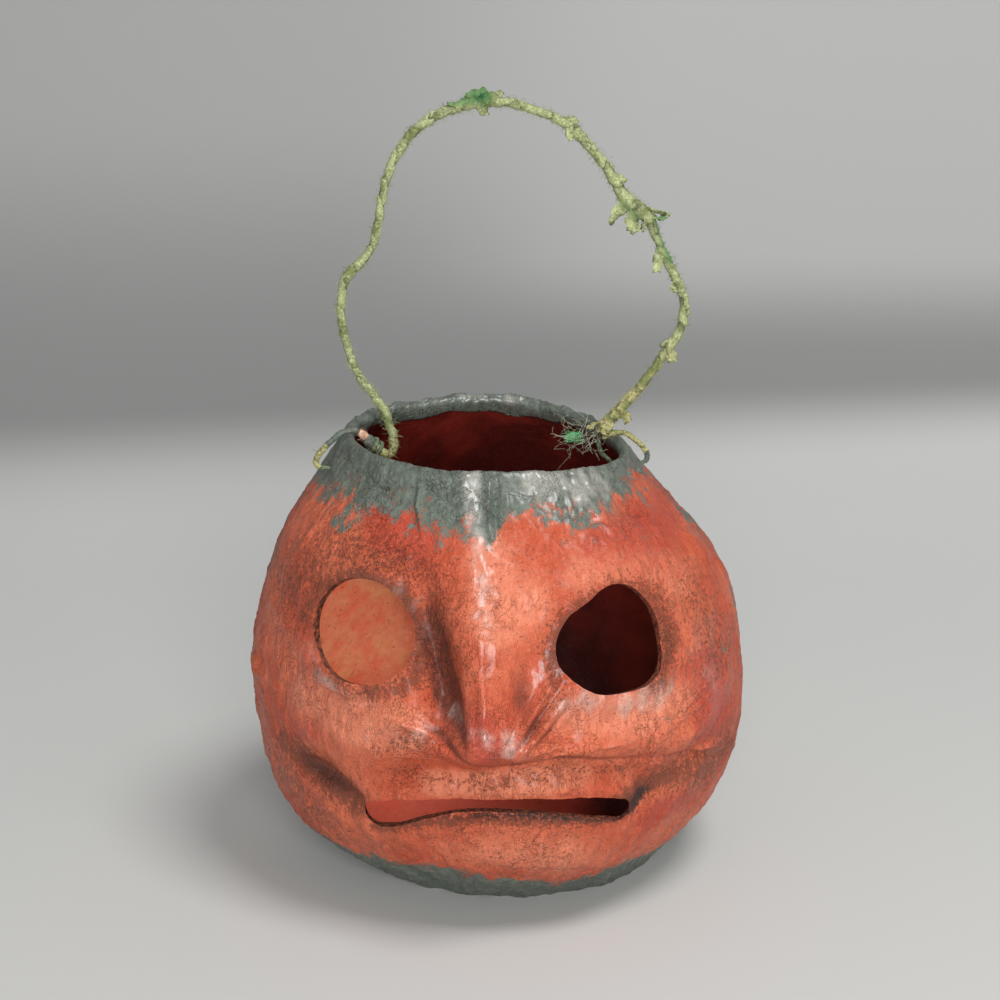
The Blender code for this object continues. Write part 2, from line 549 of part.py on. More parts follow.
def make_fray(name, points, width, tools, carrier):
    """A loose end of paper: a narrow strip that stands away from the wrap."""
    spots = [place_in_bail(point) for point in points]
    mesh = bpy.data.meshes.new(name)
    form = bmesh.new()
    rows = []
    for k, spot in enumerate(spots):
        ahead = (spots[min(k + 1, len(spots) - 1)] - spots[max(k - 1, 0)]).normalized()
        across = ahead.cross(Vector((0.0, -1.0, 0.25))).normalized()
        half = width * (0.5 - FRAY_TAPER * k)
        rows.append((form.verts.new(spot - across * half), form.verts.new(spot + across * half)))
    for (a, b), (c, d) in zip(rows, rows[1:]):
        form.faces.new((a, b, d, c))
    form.to_mesh(mesh)
    form.free()
    strip = as_tool(add_object(name, mesh, tools))
    solid = strip.modifiers.new("paper", "SOLIDIFY")
    solid.thickness = FRAY_PAPER
    solid.offset = 0.0
    strip.parent = carrier
    return strip


def make_wrap(name, path, index, parts, tools, carrier, bore, paint):
    """A strip of crepe paper wound tight round the core wire, with the loose ends that it shows."""
    stretch, shares = WRAPS[name]
    first = index[stretch[0]]
    last = index[stretch[-1]]
    final = min(place for place in index.values() if place > last)
    points = list(path[first:final + 1])
    back = points[-2] - points[-1]
    points[-1] = points[-1] + back * (WRAP_SPACE / np.linalg.norm(back))
    marks = [index[point] for point in stretch] + [final]
    thickness = np.interp(range(first, final + 1), marks, shares + [shares[-1]])
    tube = tube_curve(name, points, WRAP_RADIUS, thickness, parts)
    tube.parent = carrier
    mesh = mesh_from_curve(tube, name)
    mesh.shade_smooth()
    mesh.set_sharp_from_angle(angle=SHARP_ANGLE)
    wrap = add_object(name, mesh, parts, paint)
    wrap.parent = carrier
    for k, (spots, width) in enumerate(FRAYS.get(name, [])):
        if name.startswith("wrap_right"):
            spots = from_left_hole(spots)
        join(wrap, make_fray("%s_end_%d" % (name, k + 1), spots, width, tools, carrier))
    cut(wrap, bore)
    return wrap


def make_bail(parts, tools):
    """The swinging handle, carried by an empty on the line of the two holes."""
    carrier = bpy.data.objects.new("bail_axis", None)
    parts.objects.link(carrier)
    carrier.location = hole_place("left")
    path, index = bail_route()
    report_least_gap(path)
    make_wire(path, parts, carrier, principled("wire_paint", WIRE_GREEN, 0.55))
    first = index[LEFT_HOOK[0]]
    last = index[RIGHT_STRAND[0]]
    guide = tube_curve("bore_line", path[first:last + 1], WIRE_RADIUS + BORE_CLEARANCE,
                       [1.0] * (last + 1 - first), tools)
    guide.parent = carrier
    bore = as_tool(add_object("bore_of_wraps", mesh_from_curve(guide, "bore_of_wraps"), tools))
    bore.parent = carrier
    for name in WRAPS:
        make_wrap(name, path, index, parts, tools, carrier, bore, principled(name, STRAW_GREEN, 0.8))


def main():
    clear_scene()
    parts = new_collection("papier_mache_jack_o_lantern")
    tools = new_collection("cutters")
    make_shell(parts, tools, principled("orange_paint", ORANGE, 0.45))
    make_rim_binding(parts, principled("rim_green_paint", GREY_GREEN, 0.45))
    make_base(parts, principled("base_green_paint", GREY_GREEN, 0.5))
    make_bail(parts, tools)


main()
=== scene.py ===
"""Dressed model of a papier-mache jack-o-lantern with a paper-wrapped wire bail.

The pasted wall, its bound rim and its base are lofted again at full resolution on the CAD's own skin, with the
wrinkles of the paper, the brushed paint, and painted light and shade. The bail keeps its CAD wire and gets wound
crepe paper.
"""
import math

import bmesh
import bpy
import numpy as np
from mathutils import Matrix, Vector, noise


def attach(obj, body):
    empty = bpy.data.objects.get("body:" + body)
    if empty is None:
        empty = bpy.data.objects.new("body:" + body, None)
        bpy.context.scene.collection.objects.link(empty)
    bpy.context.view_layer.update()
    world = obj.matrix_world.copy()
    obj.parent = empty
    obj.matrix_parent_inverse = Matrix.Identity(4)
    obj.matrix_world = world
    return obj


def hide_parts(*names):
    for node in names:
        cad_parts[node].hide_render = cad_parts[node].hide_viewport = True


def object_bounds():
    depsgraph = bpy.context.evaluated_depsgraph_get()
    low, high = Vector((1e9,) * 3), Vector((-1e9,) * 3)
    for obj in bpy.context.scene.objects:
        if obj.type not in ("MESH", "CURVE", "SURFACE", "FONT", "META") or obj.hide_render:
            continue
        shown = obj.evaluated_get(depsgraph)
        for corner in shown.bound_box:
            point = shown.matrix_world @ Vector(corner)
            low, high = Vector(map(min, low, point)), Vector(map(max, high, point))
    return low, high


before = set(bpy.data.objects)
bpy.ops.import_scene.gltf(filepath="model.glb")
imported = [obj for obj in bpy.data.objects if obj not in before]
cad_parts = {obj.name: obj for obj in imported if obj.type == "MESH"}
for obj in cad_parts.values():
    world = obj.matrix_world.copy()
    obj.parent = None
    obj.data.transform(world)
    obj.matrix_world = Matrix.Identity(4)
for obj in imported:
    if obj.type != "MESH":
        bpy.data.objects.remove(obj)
cad_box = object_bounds()

# The pasted wall
# Strips of paper pasted over a form, with the face modelled in soft paper, then painted and varnished.
# One piece with cut eyes and mouth; two holes below the rim take the bail.
MM = 0.001               # the tables are in millimetres, and single sizes in metres
WALL = 0.0025
SEAM_HEIGHT = 0.0085
SHELL_HEIGHT = 0.1490
SECTIONS = np.array([  # height, then how far the left, right, front and back sides stand from the axis
    (0, 42, 51, 38.5, 41), (10, 56.5, 58.5, 52, 53.5), (20, 69.8, 69, 61.5, 64), (34, 78.5, 76.8, 70.5, 72.5),
    (50, 81.2, 81, 75, 76.5), (69, 81.8, 82, 76.5, 77.5), (88, 80.2, 79, 75.5, 76.2), (104, 76.5, 73.7, 72.2, 72.8),
    (118, 70.8, 65.7, 66.5, 66.8), (133, 60.8, 54.5, 57, 58), (149, 50.4, 41.6, 46, 47)]) * MM
RIM_DROP_RIGHT = 0.0065
RIM_DROP_FRONT = 0.0020
DROP_START = 0.0950
LUMP = 0.0007
FACE = {  # width of a modelled stroke, then its points: x, z and height
    "nose_ridge": (10.5, [(-10, 132, 1), (-8, 112, 3.5), (-5, 92, 6), (-4, 74, 8.5)]),
    "nose_tip": (7.5, [(-6, 70, 3), (0, 70, 3)]),
    "nose_crease": (6.5, [(-25, 118, -2), (-21, 100, -5), (-17, 84, -6), (-15, 77, -3)]),
    "nose_right_hollow": (8.5, [(14, 110, -1), (16, 94, -2.5)]),
    "left_wing": (6, [(-34, 80, 1), (-22, 73, 3.5), (-11, 68, 3)]),
    "right_wing": (6, [(24, 92, 1), (16, 80, 3), (8, 71, 3)]),
    "cheek_shelf": (6.5, [(10, 67, 2.5), (26, 68, 3.5), (42, 68, 3), (60, 64, 2)]),
    "left_cheek": (11, [(-56, 68, 2), (-40, 68, 3.5), (-26, 72, 1.5)]),
    "lip_band": (5, [(-36, 56, -1.5), (-18, 60, -3), (0, 62, -3), (22, 60, -3), (44, 56, -2)]),
    "left_corner": (6.2, [(-66, 57, -2), (-57, 52, -5), (-48, 46, -3)]),
    "right_corner": (5.2, [(68, 58, -1.5), (57, 54, -3.5), (46, 49, -3)]),
    "upper_lip": (3.8, [(-40, 48, 1), (-20, 54, 1.5), (0, 56, 1.5), (22, 55, 1.5), (40, 50, 1)]),
    "lower_lip": (5, [(-40, 37, 1), (-18, 44, 1.5), (2, 46, 1.5), (30, 43, 1)]),
    "chin": (12.5, [(-24, 30, 2), (2, 31, 4), (28, 30, 3)]),
    "chin_crease": (4, [(-30, 16, -2), (-21, 9, -2)]),
    "left_brow": (8.5, [(-62, 118, 1), (-46, 124, 2.5), (-30, 121, 1)]),
    "right_brow": (8.5, [(14, 116, 1), (34, 123, 2.5), (54, 114, 1)]),
    "left_bag": (5, [(-62, 88, 1), (-46, 83, 2.5), (-30, 87, 1)]),
    "right_bag": (5, [(18, 88, 1), (36, 82, 2.5), (54, 88, 1)])}
WRINKLES = {  # folds of the outer paper: width, then points of x, z and height
    "left_wing_fold": (1.2, [(-32.1, 79.6, -0.2), (-18.4, 74, -0.7), (-9.2, 66.3, -0.8), (-2, 62.2, -0.6),
        (8, 64.5, -0.7), (18.4, 65.5, -0.8), (33, 62.5, -0.7), (47, 60.5, -0.5), (62, 56, -0.6), (74.1, 47.1, -0.2)]),
    "nose_fold_1": (1.4, [(16.9, 91.4, 0.3), (8, 78.7, 1.1), (3.2, 72, 0.4)]),
    "nose_groove_1": (1.1, [(19, 89, -0.2), (9.8, 76.5, -0.9), (5, 71, -0.3)]),
    "nose_fold_2": (1.3, [(20, 86, 0.3), (12.2, 76, 1), (7.2, 71.2, 0.4)]),
    "nose_groove_2": (1, [(21.5, 83, -0.2), (14.5, 74.8, -0.7), (9, 70, -0.2)]),
    "nose_fold_3": (1, [(-5.2, 90, 0.2), (-4.9, 80.5, 0.6), (-4, 74.7, 0.3)]),
    "nose_side_groove": (1.1, [(-13.8, 91.1, -0.4), (-12, 79.7, -0.9), (-10.3, 73.1, -0.4)]),
    "nose_side_fold": (1, [(-11, 90, 0.2), (-9.2, 80, 0.6), (-7.8, 73.5, 0.3)]),
    "right_fold_1": (0.9, [(4.8, 67.9, 0.2), (17, 70, 0.7), (27, 67.5, 0.3)]),
    "right_fold_2": (0.8, [(6.6, 65, 0.2), (20.5, 68, 0.6), (31.2, 64.1, 0.2)]),
    "right_fold_3": (0.8, [(25, 70, 0.2), (32, 68, 0.5), (40, 69, 0.2)]),
    "far_right_fold": (0.9, [(57.5, 55.8, 0.2), (66.1, 56, 0.7), (72.2, 53.5, 0.2)]),
    "right_cheek_crease_1": (0.6, [(54.2, 71.6, 0.2), (63, 77.2, 0.4), (70.2, 80.5, 0.1)]),
    "right_cheek_crease_2": (0.6, [(49.4, 68.5, 0.1), (62, 72.2, 0.4), (73.7, 75.5, 0.1)]),
    "left_cheek_fold_1": (0.9, [(-39.7, 69.5, 0.1), (-29.7, 76.6, 0.7), (-23.5, 75.6, 0.2)]),
    "left_cheek_groove": (0.9, [(-39, 67, -0.1), (-29, 73.5, -0.6), (-21.5, 72.8, -0.3)]),
    "left_cheek_fold_2": (0.9, [(-37.5, 63.4, 0.2), (-30, 65.2, 0.6), (-22.1, 65, 0.2)]),
    "left_cheek_fold_3": (0.8, [(-34, 68, 0.1), (-27, 69, 0.5), (-20, 68, 0.1)]),
    "under_nose_crease": (0.9, [(0.2, 60, -0.4), (2, 57, -0.9), (3.6, 54, -0.2)]),
    "under_left_eye": (1, [(-60, 80, -0.2), (-47.6, 79.8, -0.6), (-37.2, 82.8, -0.2)]),
    "chin_paper_edge": (0.8, [(-21.4, 33.1, -0.2), (-18, 29, -0.6), (-16.2, 24, -0.2)]),
    "left_dark_groove": (1.6, [(-65, 52, -0.4), (-54.2, 49, -1.2), (-44.9, 45.8, -0.6)]),
    "top_crease": (0.9, [(-1, 145, -0.4), (-1.8, 137, -0.8), (-0.4, 128.9, -0.2)]),
    "top_ridge": (1, [(-3.2, 144, 0.3), (-3.6, 137, 0.6), (-2.4, 130, 0.2)]),
    "left_top_crease": (0.8, [(-24.7, 143, 0.3), (-25.2, 137, 0.7), (-23.7, 129, 0.2)]),
    "right_lifted_edge": (0.9, [(60, 119, 0.2), (64, 114, 0.6), (67.7, 110.4, 0.2)]),
    "nose_side_hollow": (4.2, [(-22.5, 115, -0.3), (-19.5, 100, -1.3), (-16.5, 85, -1.3), (-14.5, 76, -0.6)]),
    "nose_right_edge": (4, [(7, 100, -0.2), (6.5, 85, -0.8), (9, 75, -0.3)]),
    "left_lump": (1.6, [(-79.2, 76, 0.8), (-78.8, 73.5, 0.8)])}
SWIRL_CENTRE = (0.0250, 0.1345)
SWIRL_HEIGHT, SWIRL_PITCH, SWIRL_REACH = 0.00016, 0.0021, 0.0065
FOLD_STRENGTH = 2.6
DEEPEST_FOLD = 0.0017    # of the wall's 2.5 mm, so that no groove comes through
CRUMPLES = [  # height of the creases, how fine they are up the wall and in all, and seed
    (0.00040, 1.0, 85.0, 1), (0.00036, 0.45, 200.0, 2), (0.00016, 1.0, 480.0, 3)]
OPENINGS = {  # the cuts: a place, the turn and lean of the cut in degrees, and an outline across and up
    "left_eye": ((-44, -61, 101), -34, 18, [(0, 16.5), (11.5, 12.5), (18, 1), (15, -10.5), (2, -16), (-12, -12.5),
        (-18.5, -2), (-14, 11)]),
    "right_eye": ((35, -66, 100), 27, 18, [(4, 17), (13.5, 12), (18, 1), (15.5, -12), (1, -16.5), (-12, -13),
        (-18, -3), (-15, 7.5), (-7, 12.5)]),
    "mouth": ((-1, -70, 45), 0, 0, [(-41, 0.3), (-34, 3.4), (-24, 5.2), (-10, 6.4), (8, 6.6), (23, 5.6), (34, 4.4),
        (41.2, 0.8), (40, -4.5), (33, -3), (18, 0.5), (2, 2.5), (-11, 2), (-23, -1.5), (-32, -5.5), (-39.5, -6)])}
CUT_DEPTH = 0.036
LEFT_HOLE = Vector((-0.057072, -0.011874, 0.139951))
RIGHT_HOLE = Vector((0.047041, 0.012058, 0.135046))
HOLE_RADIUS = 0.0012
HOLE_LENGTH, HOLE_START = 0.012, 0.005
WELD = 0.00001
COLUMNS_FRONT, COLUMNS_BACK, RINGS = ((300, 110, 170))

# Where the paint and the painted light and shade lie. Each mask is made of strokes: width, then points of x, z and
# strength.
# Umber stipple and painted shade: darker round the eyes and brows, beside the nose, about the mouth and its corners,
# and low on the cheeks.
UMBER_AND_PAINTED_SHADE = [
    (5.5, [(-25.3, 123.4, 0.4), (-20, 112.9, 0.5), (-17.5, 98.9, 0.5), (-15.8, 83.4, 0.4)]),
    (3.6, [(-61.3, 101, 0.5), (-56, 111, 0.8), (-43.5, 117.5, 0.9), (-30, 114, 1), (-24, 100.3, 1), (-26.2, 89, 0.7),
        (-41.3, 83.7, 0.5), (-56, 85, 0.4)]),
    (3.4, [(17, 86, 0.4), (16, 96.7, 0.9), (20, 107, 0.9), (30, 113, 0.7), (38.7, 115, 0.5), (48, 109, 0.6),
        (53.5, 94.4, 0.9), (49, 83, 0.6)]),
    (3.6, [(-30.9, 58.5, 0.4), (-15.5, 57.5, 0.2), (0.1, 58, 0.34), (18.3, 60, 0.2), (37.7, 57.5, 0.4)]),
    (5.2, [(-69, 55, 0.8), (-60, 51, 1.25), (-50, 46.5, 1.15), (-45, 43.5, 0.8)]),
    (4.6, [(40.6, 47.5, 0.9), (50, 50, 0.9), (60, 50, 0.7), (74.3, 47, 0.5)]),
    (2.2, [(-39.2, 37, 0.7), (-25.2, 42.5, 0.8), (-5.9, 45.5, 0.7), (18.9, 44, 0.9), (37.6, 41.5, 0.9)]),
    (10, [(-10, 31, 0.16), (20, 31, 0.2)]),
    (7.5, [(-66, 106, 0.45), (-60, 115, 0.5), (-45, 124, 0.45), (-31, 122.5, 0.5)]),
    (2.4, [(-15, 90, 0.5), (-12.8, 79, 0.6), (-11, 71.5, 0.4)]),
    (2.4, [(-38, 65.5, 0.3), (-28, 70.5, 0.35), (-18, 72, 0.3)]),
    (6, [(60, 108, 0.35), (66, 96, 0.35), (70, 82, 0.3)]), (8.5, [(-74, 56, 0.3), (-68, 42, 0.5), (-56, 28, 0.35)]),
    (7.5, [(56, 50, 0.6), (66, 48, 0.75), (74, 50, 0.6)])]
# Painted shadow: near black along the top of the lower lip and into the right corner, where the inside of the mouth
# is in shade.
PAINTED_MOUTH_SHADOW = [
    (2.4, [(-20, 45, 0.35), (1, 47.2, 0.6), (16, 45.8, 0.65), (30, 43.5, 0.8), (40, 42.5, 0.9)]),
    (2.2, [(41, 43, 1), (44, 47, 0.9), (47, 48, 0.5)])]
# Pale salmon paint, partly painted highlight: lighter on the forehead, the brow and cheeks, the chin and above the
# mouth.
PALE_PAINT_AND_HIGHLIGHT = [
    (9, [(-2.9, 124.9, 0.8), (0.2, 109.1, 0.9), (8.9, 113.7, 0.7)]),
    (8, [(20, 80.1, 0.6), (43.1, 75.6, 0.8), (56.2, 76.5, 0.6)]),
    (8, [(25, 120, 0.6), (45, 119, 0.4), (56, 109, 0.5)]), (9, [(-60, 76, 0.7), (-48, 74, 1), (-30, 74.5, 0.9)]),
    (10, [(-15, 33, 0.4), (20, 30, 0.6)]), (5, [(-20, 56, 0.8), (10, 57.5, 0.9), (25, 58, 0.7)])]
RED = [
    (7.5, [(-35.6, 131.5, 0.9), (-24.5, 127.4, 0.9)]), (8, [(30.8, 126.7, 0.7), (51.4, 125.8, 0.8)]),
    (5, [(-5.7, 80, 0.8), (-3.2, 70, 1)]), (8, [(63.5, 83, 0.8), (69, 64.5, 0.9)]),
    (6, [(47.5, 37.9, 0.8), (58, 39.1, 0.8)]), (7, [(-56, 70, 0.5), (-64, 60, 0.5)])]
# Glossier varnish, and a painted sheen: the wall's colour turns pale grey there.
SHEEN = [
    (5, [(-9, 148, 1), (-8, 136, 1), (-5, 118, 0.8), (-3, 100, 0.5)]), (8, [(10, 146, 1), (30, 140, 1)]),
    (6, [(-12, 80, 0.8), (5, 72, 0.9)]), (5, [(12, 90, 0.7), (18, 98, 0.6)]), (7.5, [(22, 83, 0.8), (50, 80, 0.9)]),
    (6, [(64, 92, 0.6), (70, 72, 0.6)]), (3.5, [(-60, 92, 0.8), (-56, 84, 0.8), (-42, 79, 0.5)]),
    (4, [(-40, 70, 0.6), (-25, 73, 0.8)])]
GREEN_EDGE = np.array([  # azimuth in degrees, lower edge of the green band round the rim
    (-180, 132), (-140, 133.5), (-95, 133), (-78, 132.5), (-62, 134.8), (-50, 135.2), (-40, 135.8), (-29, 134.5),
    (-15, 130.2), (-6, 130.8), (2, 132.5), (7, 136.2), (16, 136), (25, 132.5), (36, 135.2), (47, 137.6), (55, 137.6),
    (73, 136.8), (100, 133.5), (140, 132.5), (180, 132)])
GREEN_BASE = np.array([  # azimuth in degrees, upper edge of the green at the base
    (-180, 19), (-120, 22), (-60, 20), (-34, 20), (-18, 23.6), (-7, 21.2), (0, 17.4), (18, 13.8), (34, 17.8),
    (48, 17.2), (80, 20), (120, 20), (180, 19)])


def ease(low, high, value):
    share = np.clip((value - low) / (high - low), 0.0, 1.0)
    return share * share * (3.0 - 2.0 * share)


def facing(azimuth):
    """1 in front, where the face is, and 0 behind."""
    return ease(-0.1, 0.35, np.cos(azimuth))


def side_reach(side, height):
    heights, reach = SECTIONS[:, 0], SECTIONS[:, side]
    slopes = np.gradient(reach, heights)
    row = np.clip(np.searchsorted(heights, height, side="right") - 1, 0, len(heights) - 2)
    step = heights[row + 1] - heights[row]
    t = (height - heights[row]) / step
    return ((2 * t ** 3 - 3 * t ** 2 + 1) * reach[row] + (t ** 3 - 2 * t ** 2 + t) * step * slopes[row]
            + (3 * t ** 2 - 2 * t ** 3) * reach[row + 1] + (t ** 3 - t ** 2) * step * slopes[row + 1])


def plain_skin(azimuth, height):
    """Points of the body without its face. Azimuth is 0 in front and grows towards the right."""
    left, right, front, back = (side_reach(side, height) for side in (1, 2, 3, 4))
    across = np.sin(azimuth)
    deep = -np.cos(azimuth)
    drop = RIM_DROP_RIGHT * np.maximum(across, 0.0) ** 2 + RIM_DROP_FRONT * np.maximum(-deep, 0.0) ** 2
    return np.stack([(right - left) / 2 + across * (right + left) / 2, (back - front) / 2 + deep * (back + front) / 2,
                     height - drop * ease(DROP_START, SHELL_HEIGHT, height)], axis=-1)


def stroke(points, x, z, width):
    """What one stroke adds: most on its line, and nothing two widths away."""
    x, z = x / MM, z / MM
    nearest = np.full(x.shape, np.inf)
    added = np.zeros(x.shape)
    for (x0, z0, h0), (x1, z1, h1) in zip(points, points[1:]):
        run = (x1 - x0) ** 2 + (z1 - z0) ** 2
        share = np.clip(((x - x0) * (x1 - x0) + (z - z0) * (z1 - z0)) / run, 0.0, 1.0)
        away = np.hypot(x - x0 - share * (x1 - x0), z - z0 - share * (z1 - z0))
        closer = away < nearest
        nearest = np.where(closer, away, nearest)
        added = np.where(closer, h0 + share * (h1 - h0), added)
    return added * np.exp(-(nearest / width) ** 2)


def strongest(strokes, x, z):
    return np.max([stroke(points, x, z, width) for width, points in strokes], axis=0)


def crumple(points, scale, seed):
    """Creased paper: sharp folds between flat patches, from -1 to 1."""
    shift = Vector((seed * 17.3, seed * 5.1, -seed * 9.7))
    flat = points.reshape(-1, 3) * scale
    found = [noise.noise(Vector(p) + shift) for p in flat]
    return 1.0 - 3.2 * np.abs(np.array(found)).reshape(points.shape[:-1])


def fine_relief(azimuth, plain):
    """The outer paper's own folds: the named wrinkles, a swirl by the rim, and the crumple of the sheet."""
    x, z = plain[..., 0], plain[..., 2]
    front = facing(azimuth)
    folds = FOLD_STRENGTH * MM * sum(stroke(points, x, z, width) for width, points in WRINKLES.values()) * front
    away = np.hypot(x - SWIRL_CENTRE[0], z - SWIRL_CENTRE[1])
    swirl = SWIRL_HEIGHT * np.sin(away * 2 * math.pi / SWIRL_PITCH) * np.exp(-(away / SWIRL_REACH) ** 2) * front
    relief = folds + swirl
    for height, upward, scale, seed in CRUMPLES:
        relief = relief + height * crumple(plain * (1.0, 1.0, upward), scale, seed)
    return np.where(relief < 0.0, DEEPEST_FOLD * np.tanh(relief / DEEPEST_FOLD), relief)


def skin(azimuth, height, depth=0.0, rise=0.0, fine=0.0):
    """Points of the wall: depth is measured into it, rise up along it, and fine is the share of the fine relief."""
    azimuth = np.asarray(azimuth, float)
    height = np.full(azimuth.shape, height, float) if np.ndim(height) == 0 else np.asarray(height, float)
    small = 1e-4
    plain = plain_skin(azimuth, height)
    around = plain_skin(azimuth + small, height) - plain_skin(azimuth - small, height)
    below = np.maximum(height - small, 0.0)
    upward = plain_skin(azimuth, np.minimum(below + 2 * small, SHELL_HEIGHT)) - plain_skin(azimuth, below)
    normal = np.cross(around, upward)
    normal /= np.linalg.norm(normal, axis=-1, keepdims=True)
    upward /= np.linalg.norm(upward, axis=-1, keepdims=True)
    face = MM * sum(stroke(points, plain[..., 0], plain[..., 2], width) for width, points in FACE.values())
    share = height / SHELL_HEIGHT
    bumps = np.sin(3 * azimuth + 7 * share) * np.sin(9 * share) + 0.7 * np.sin(5 * azimuth - 9 * share + 1.0)
    inside = ease(0.0, 0.03, height) * (1 - ease(SHELL_HEIGHT - 0.02, SHELL_HEIGHT, height))
    lift = face * facing(azimuth) + LUMP * bumps * inside - depth
    if np.any(fine):
        lift = lift + fine * fine_relief(azimuth, plain)
    return plain + normal * lift[..., None] + upward * np.asarray(rise)[..., None]


def columns(front, back):
    quarter = math.pi / 2
    return np.concatenate([np.linspace(-quarter, quarter, front, endpoint=False),
                           np.linspace(quarter, 3 * quarter, back, endpoint=False)])


def loft(name, rings, closed, slots=None):
    """A closed skin through rings of equal length; slots gives each band of faces its material slot."""
    mesh = bpy.data.meshes.new(name)
    count = len(rings[0])
    points = np.concatenate(rings)
    bands = len(rings) if closed else len(rings) - 1
    faces = []
    for band in range(bands):
        low, high = band * count, ((band + 1) % len(rings)) * count
        faces += [(low + k, low + (k + 1) % count, high + (k + 1) % count, high + k) for k in range(count)]
    if not closed:
        faces += [tuple(range(count))[::-1], tuple(range(len(points) - count, len(points)))]
    mesh.from_pydata(points.tolist(), [], faces)
    for face in mesh.polygons:
        face.material_index = slots[face.index // count] if slots and face.index < bands * count else 0
    return mesh


def spots_of(mesh):
    spots = np.empty(len(mesh.vertices) * 3)
    mesh.vertices.foreach_get("co", spots)
    return spots.reshape(-1, 3)


def add_object(name, data):
    made = bpy.data.objects.new(name, data)
    bpy.context.scene.collection.objects.link(made)
    return made


def piece_of(name, mesh, *finishes):
    """An object at the origin with its finishes, kept inside the CAD model's box."""
    low, high = (np.array(corner) for corner in cad_box)
    mesh.vertices.foreach_set("co", np.clip(spots_of(mesh), low, high).ravel())
    mesh.update()
    for finish in finishes:
        mesh.materials.append(finish)
    return add_object(name, mesh)


def final_mesh(piece):
    """The piece's mesh as its modifiers leave it."""
    bpy.context.view_layer.update()
    return bpy.data.meshes.new_from_object(piece.evaluated_get(bpy.context.evaluated_depsgraph_get()))


def write(mesh, name, values):
    """A value at each vertex, which the finishes read by its name."""
    mesh.attributes.new(name, "FLOAT", "POINT").data.foreach_set("value", values)


class Socket:
    """A socket in arithmetic: each operator adds its Math node."""

    def __init__(self, graph, output):
        self.graph, self.output = graph, output

    def math(self, operation, first, second=0.0):
        return self.graph.node("ShaderNodeMath", {"operation": operation}, {0: first, 1: second})

    def __add__(self, other):
        return self.math("ADD", self, other)

    def __sub__(self, other):
        return self.math("SUBTRACT", self, other)

    def __rsub__(self, other):
        return self.math("SUBTRACT", other, self)

    def __mul__(self, other):
        return self.math("MULTIPLY", self, other)

    __radd__ = __add__
    __rmul__ = __mul__


class Graph:
    """A node tree with one method that adds any node."""

    def __init__(self, tree):
        self.tree = tree

    def node(self, kind, settings=None, inputs=None, output=0):
        made = self.tree.nodes.new(kind)
        for key, value in (settings or {}).items():
            setattr(made, key, value)
        for key, value in (inputs or {}).items():
            self.feed(made.inputs[key], value)
        return Socket(self, made.outputs[output])

    def geo(self, kind, *rest, **more):
        return self.node("GeometryNode" + kind, *rest, **more)

    def vector(self, operation, first, second):
        return self.node("ShaderNodeVectorMath", {"operation": operation},
                         {0: first, "Scale" if operation == "SCALE" else 1: second})

    def feed(self, target, value):
        if isinstance(value, Socket):
            self.tree.links.new(value.output, target)
        else:
            target.default_value = value


def paint(red, green, blue):
    """A colour as it is seen on screen, 0 to 255, in Blender's linear values."""
    seen = [value / 255 for value in (red, green, blue)]
    return tuple(((c + 0.055) / 1.055) ** 2.4 if c > 0.04 else c / 12.92 for c in seen) + (1.0,)


class Finish(Graph):
    """The material of one piece."""

    def __init__(self, name):
        self.material = bpy.data.materials.new(name)
        self.material.use_nodes = True
        super().__init__(self.material.node_tree)
        self.shader = self.tree.nodes["Principled BSDF"]

    def mix(self, share, first, second):
        """Two colours, each a socket or seen on screen from 0 to 255."""
        first, second = (colour if isinstance(colour, Socket) else paint(*colour) for colour in (first, second))
        return self.node("ShaderNodeMix", {"data_type": "RGBA"}, {0: share, 6: first, 7: second}, 2)

    def step(self, value, low, high):
        return self.node("ShaderNodeMapRange", {"interpolation_type": "SMOOTHSTEP"},
                         {"Value": value, "From Min": low, "From Max": high})

    def cover(self, colour, *layers):
        """Each layer: a value, where its paint starts and is full, how much it hides at most, and its colour."""
        for value, low, high, most, tone in layers:
            colour = self.mix(self.step(value, low, high) * most, colour, tone)
        return colour

    def place(self):
        return self.node("ShaderNodeTexCoord", output="Object")

    def along(self, axis):
        return self.node("ShaderNodeSeparateXYZ", {}, {0: self.place()}, axis)

    def grain(self, scale, detail=3.0, roughness=0.55, stretch=(1.0, 1.0, 1.0)):
        place = self.vector("MULTIPLY", self.place(), stretch)
        return self.node("ShaderNodeTexNoise", {}, {"Vector": place, "Scale": scale, "Detail": detail,
                                                   "Roughness": roughness})

    def mask(self, name):
        return self.node("ShaderNodeAttribute", {"attribute_name": name}, output="Fac")

    def shine(self, **values):
        for key, value in values.items():
            self.feed(self.shader.inputs[key.replace("_", " ")], value)

    def bump(self, height, depth):
        return self.node("ShaderNodeBump", {}, {"Height": height, "Distance": depth, "Strength": 1.0})


def speckled(name, grain, low, high, first, second, roughness, rub=0.0, depth=0.0):
    """Two paints in specks; rub is how much rougher the second one is, and depth how far it stands up."""
    finish = Finish(name)
    specks = finish.step(finish.grain(*grain), low, high)
    finish.shine(Base_Color=finish.mix(specks, first, second))
    finish.shine(Roughness=roughness + rub * specks if rub else roughness)
    if depth:
        finish.shine(Normal=finish.bump(specks, depth))
    return finish.material


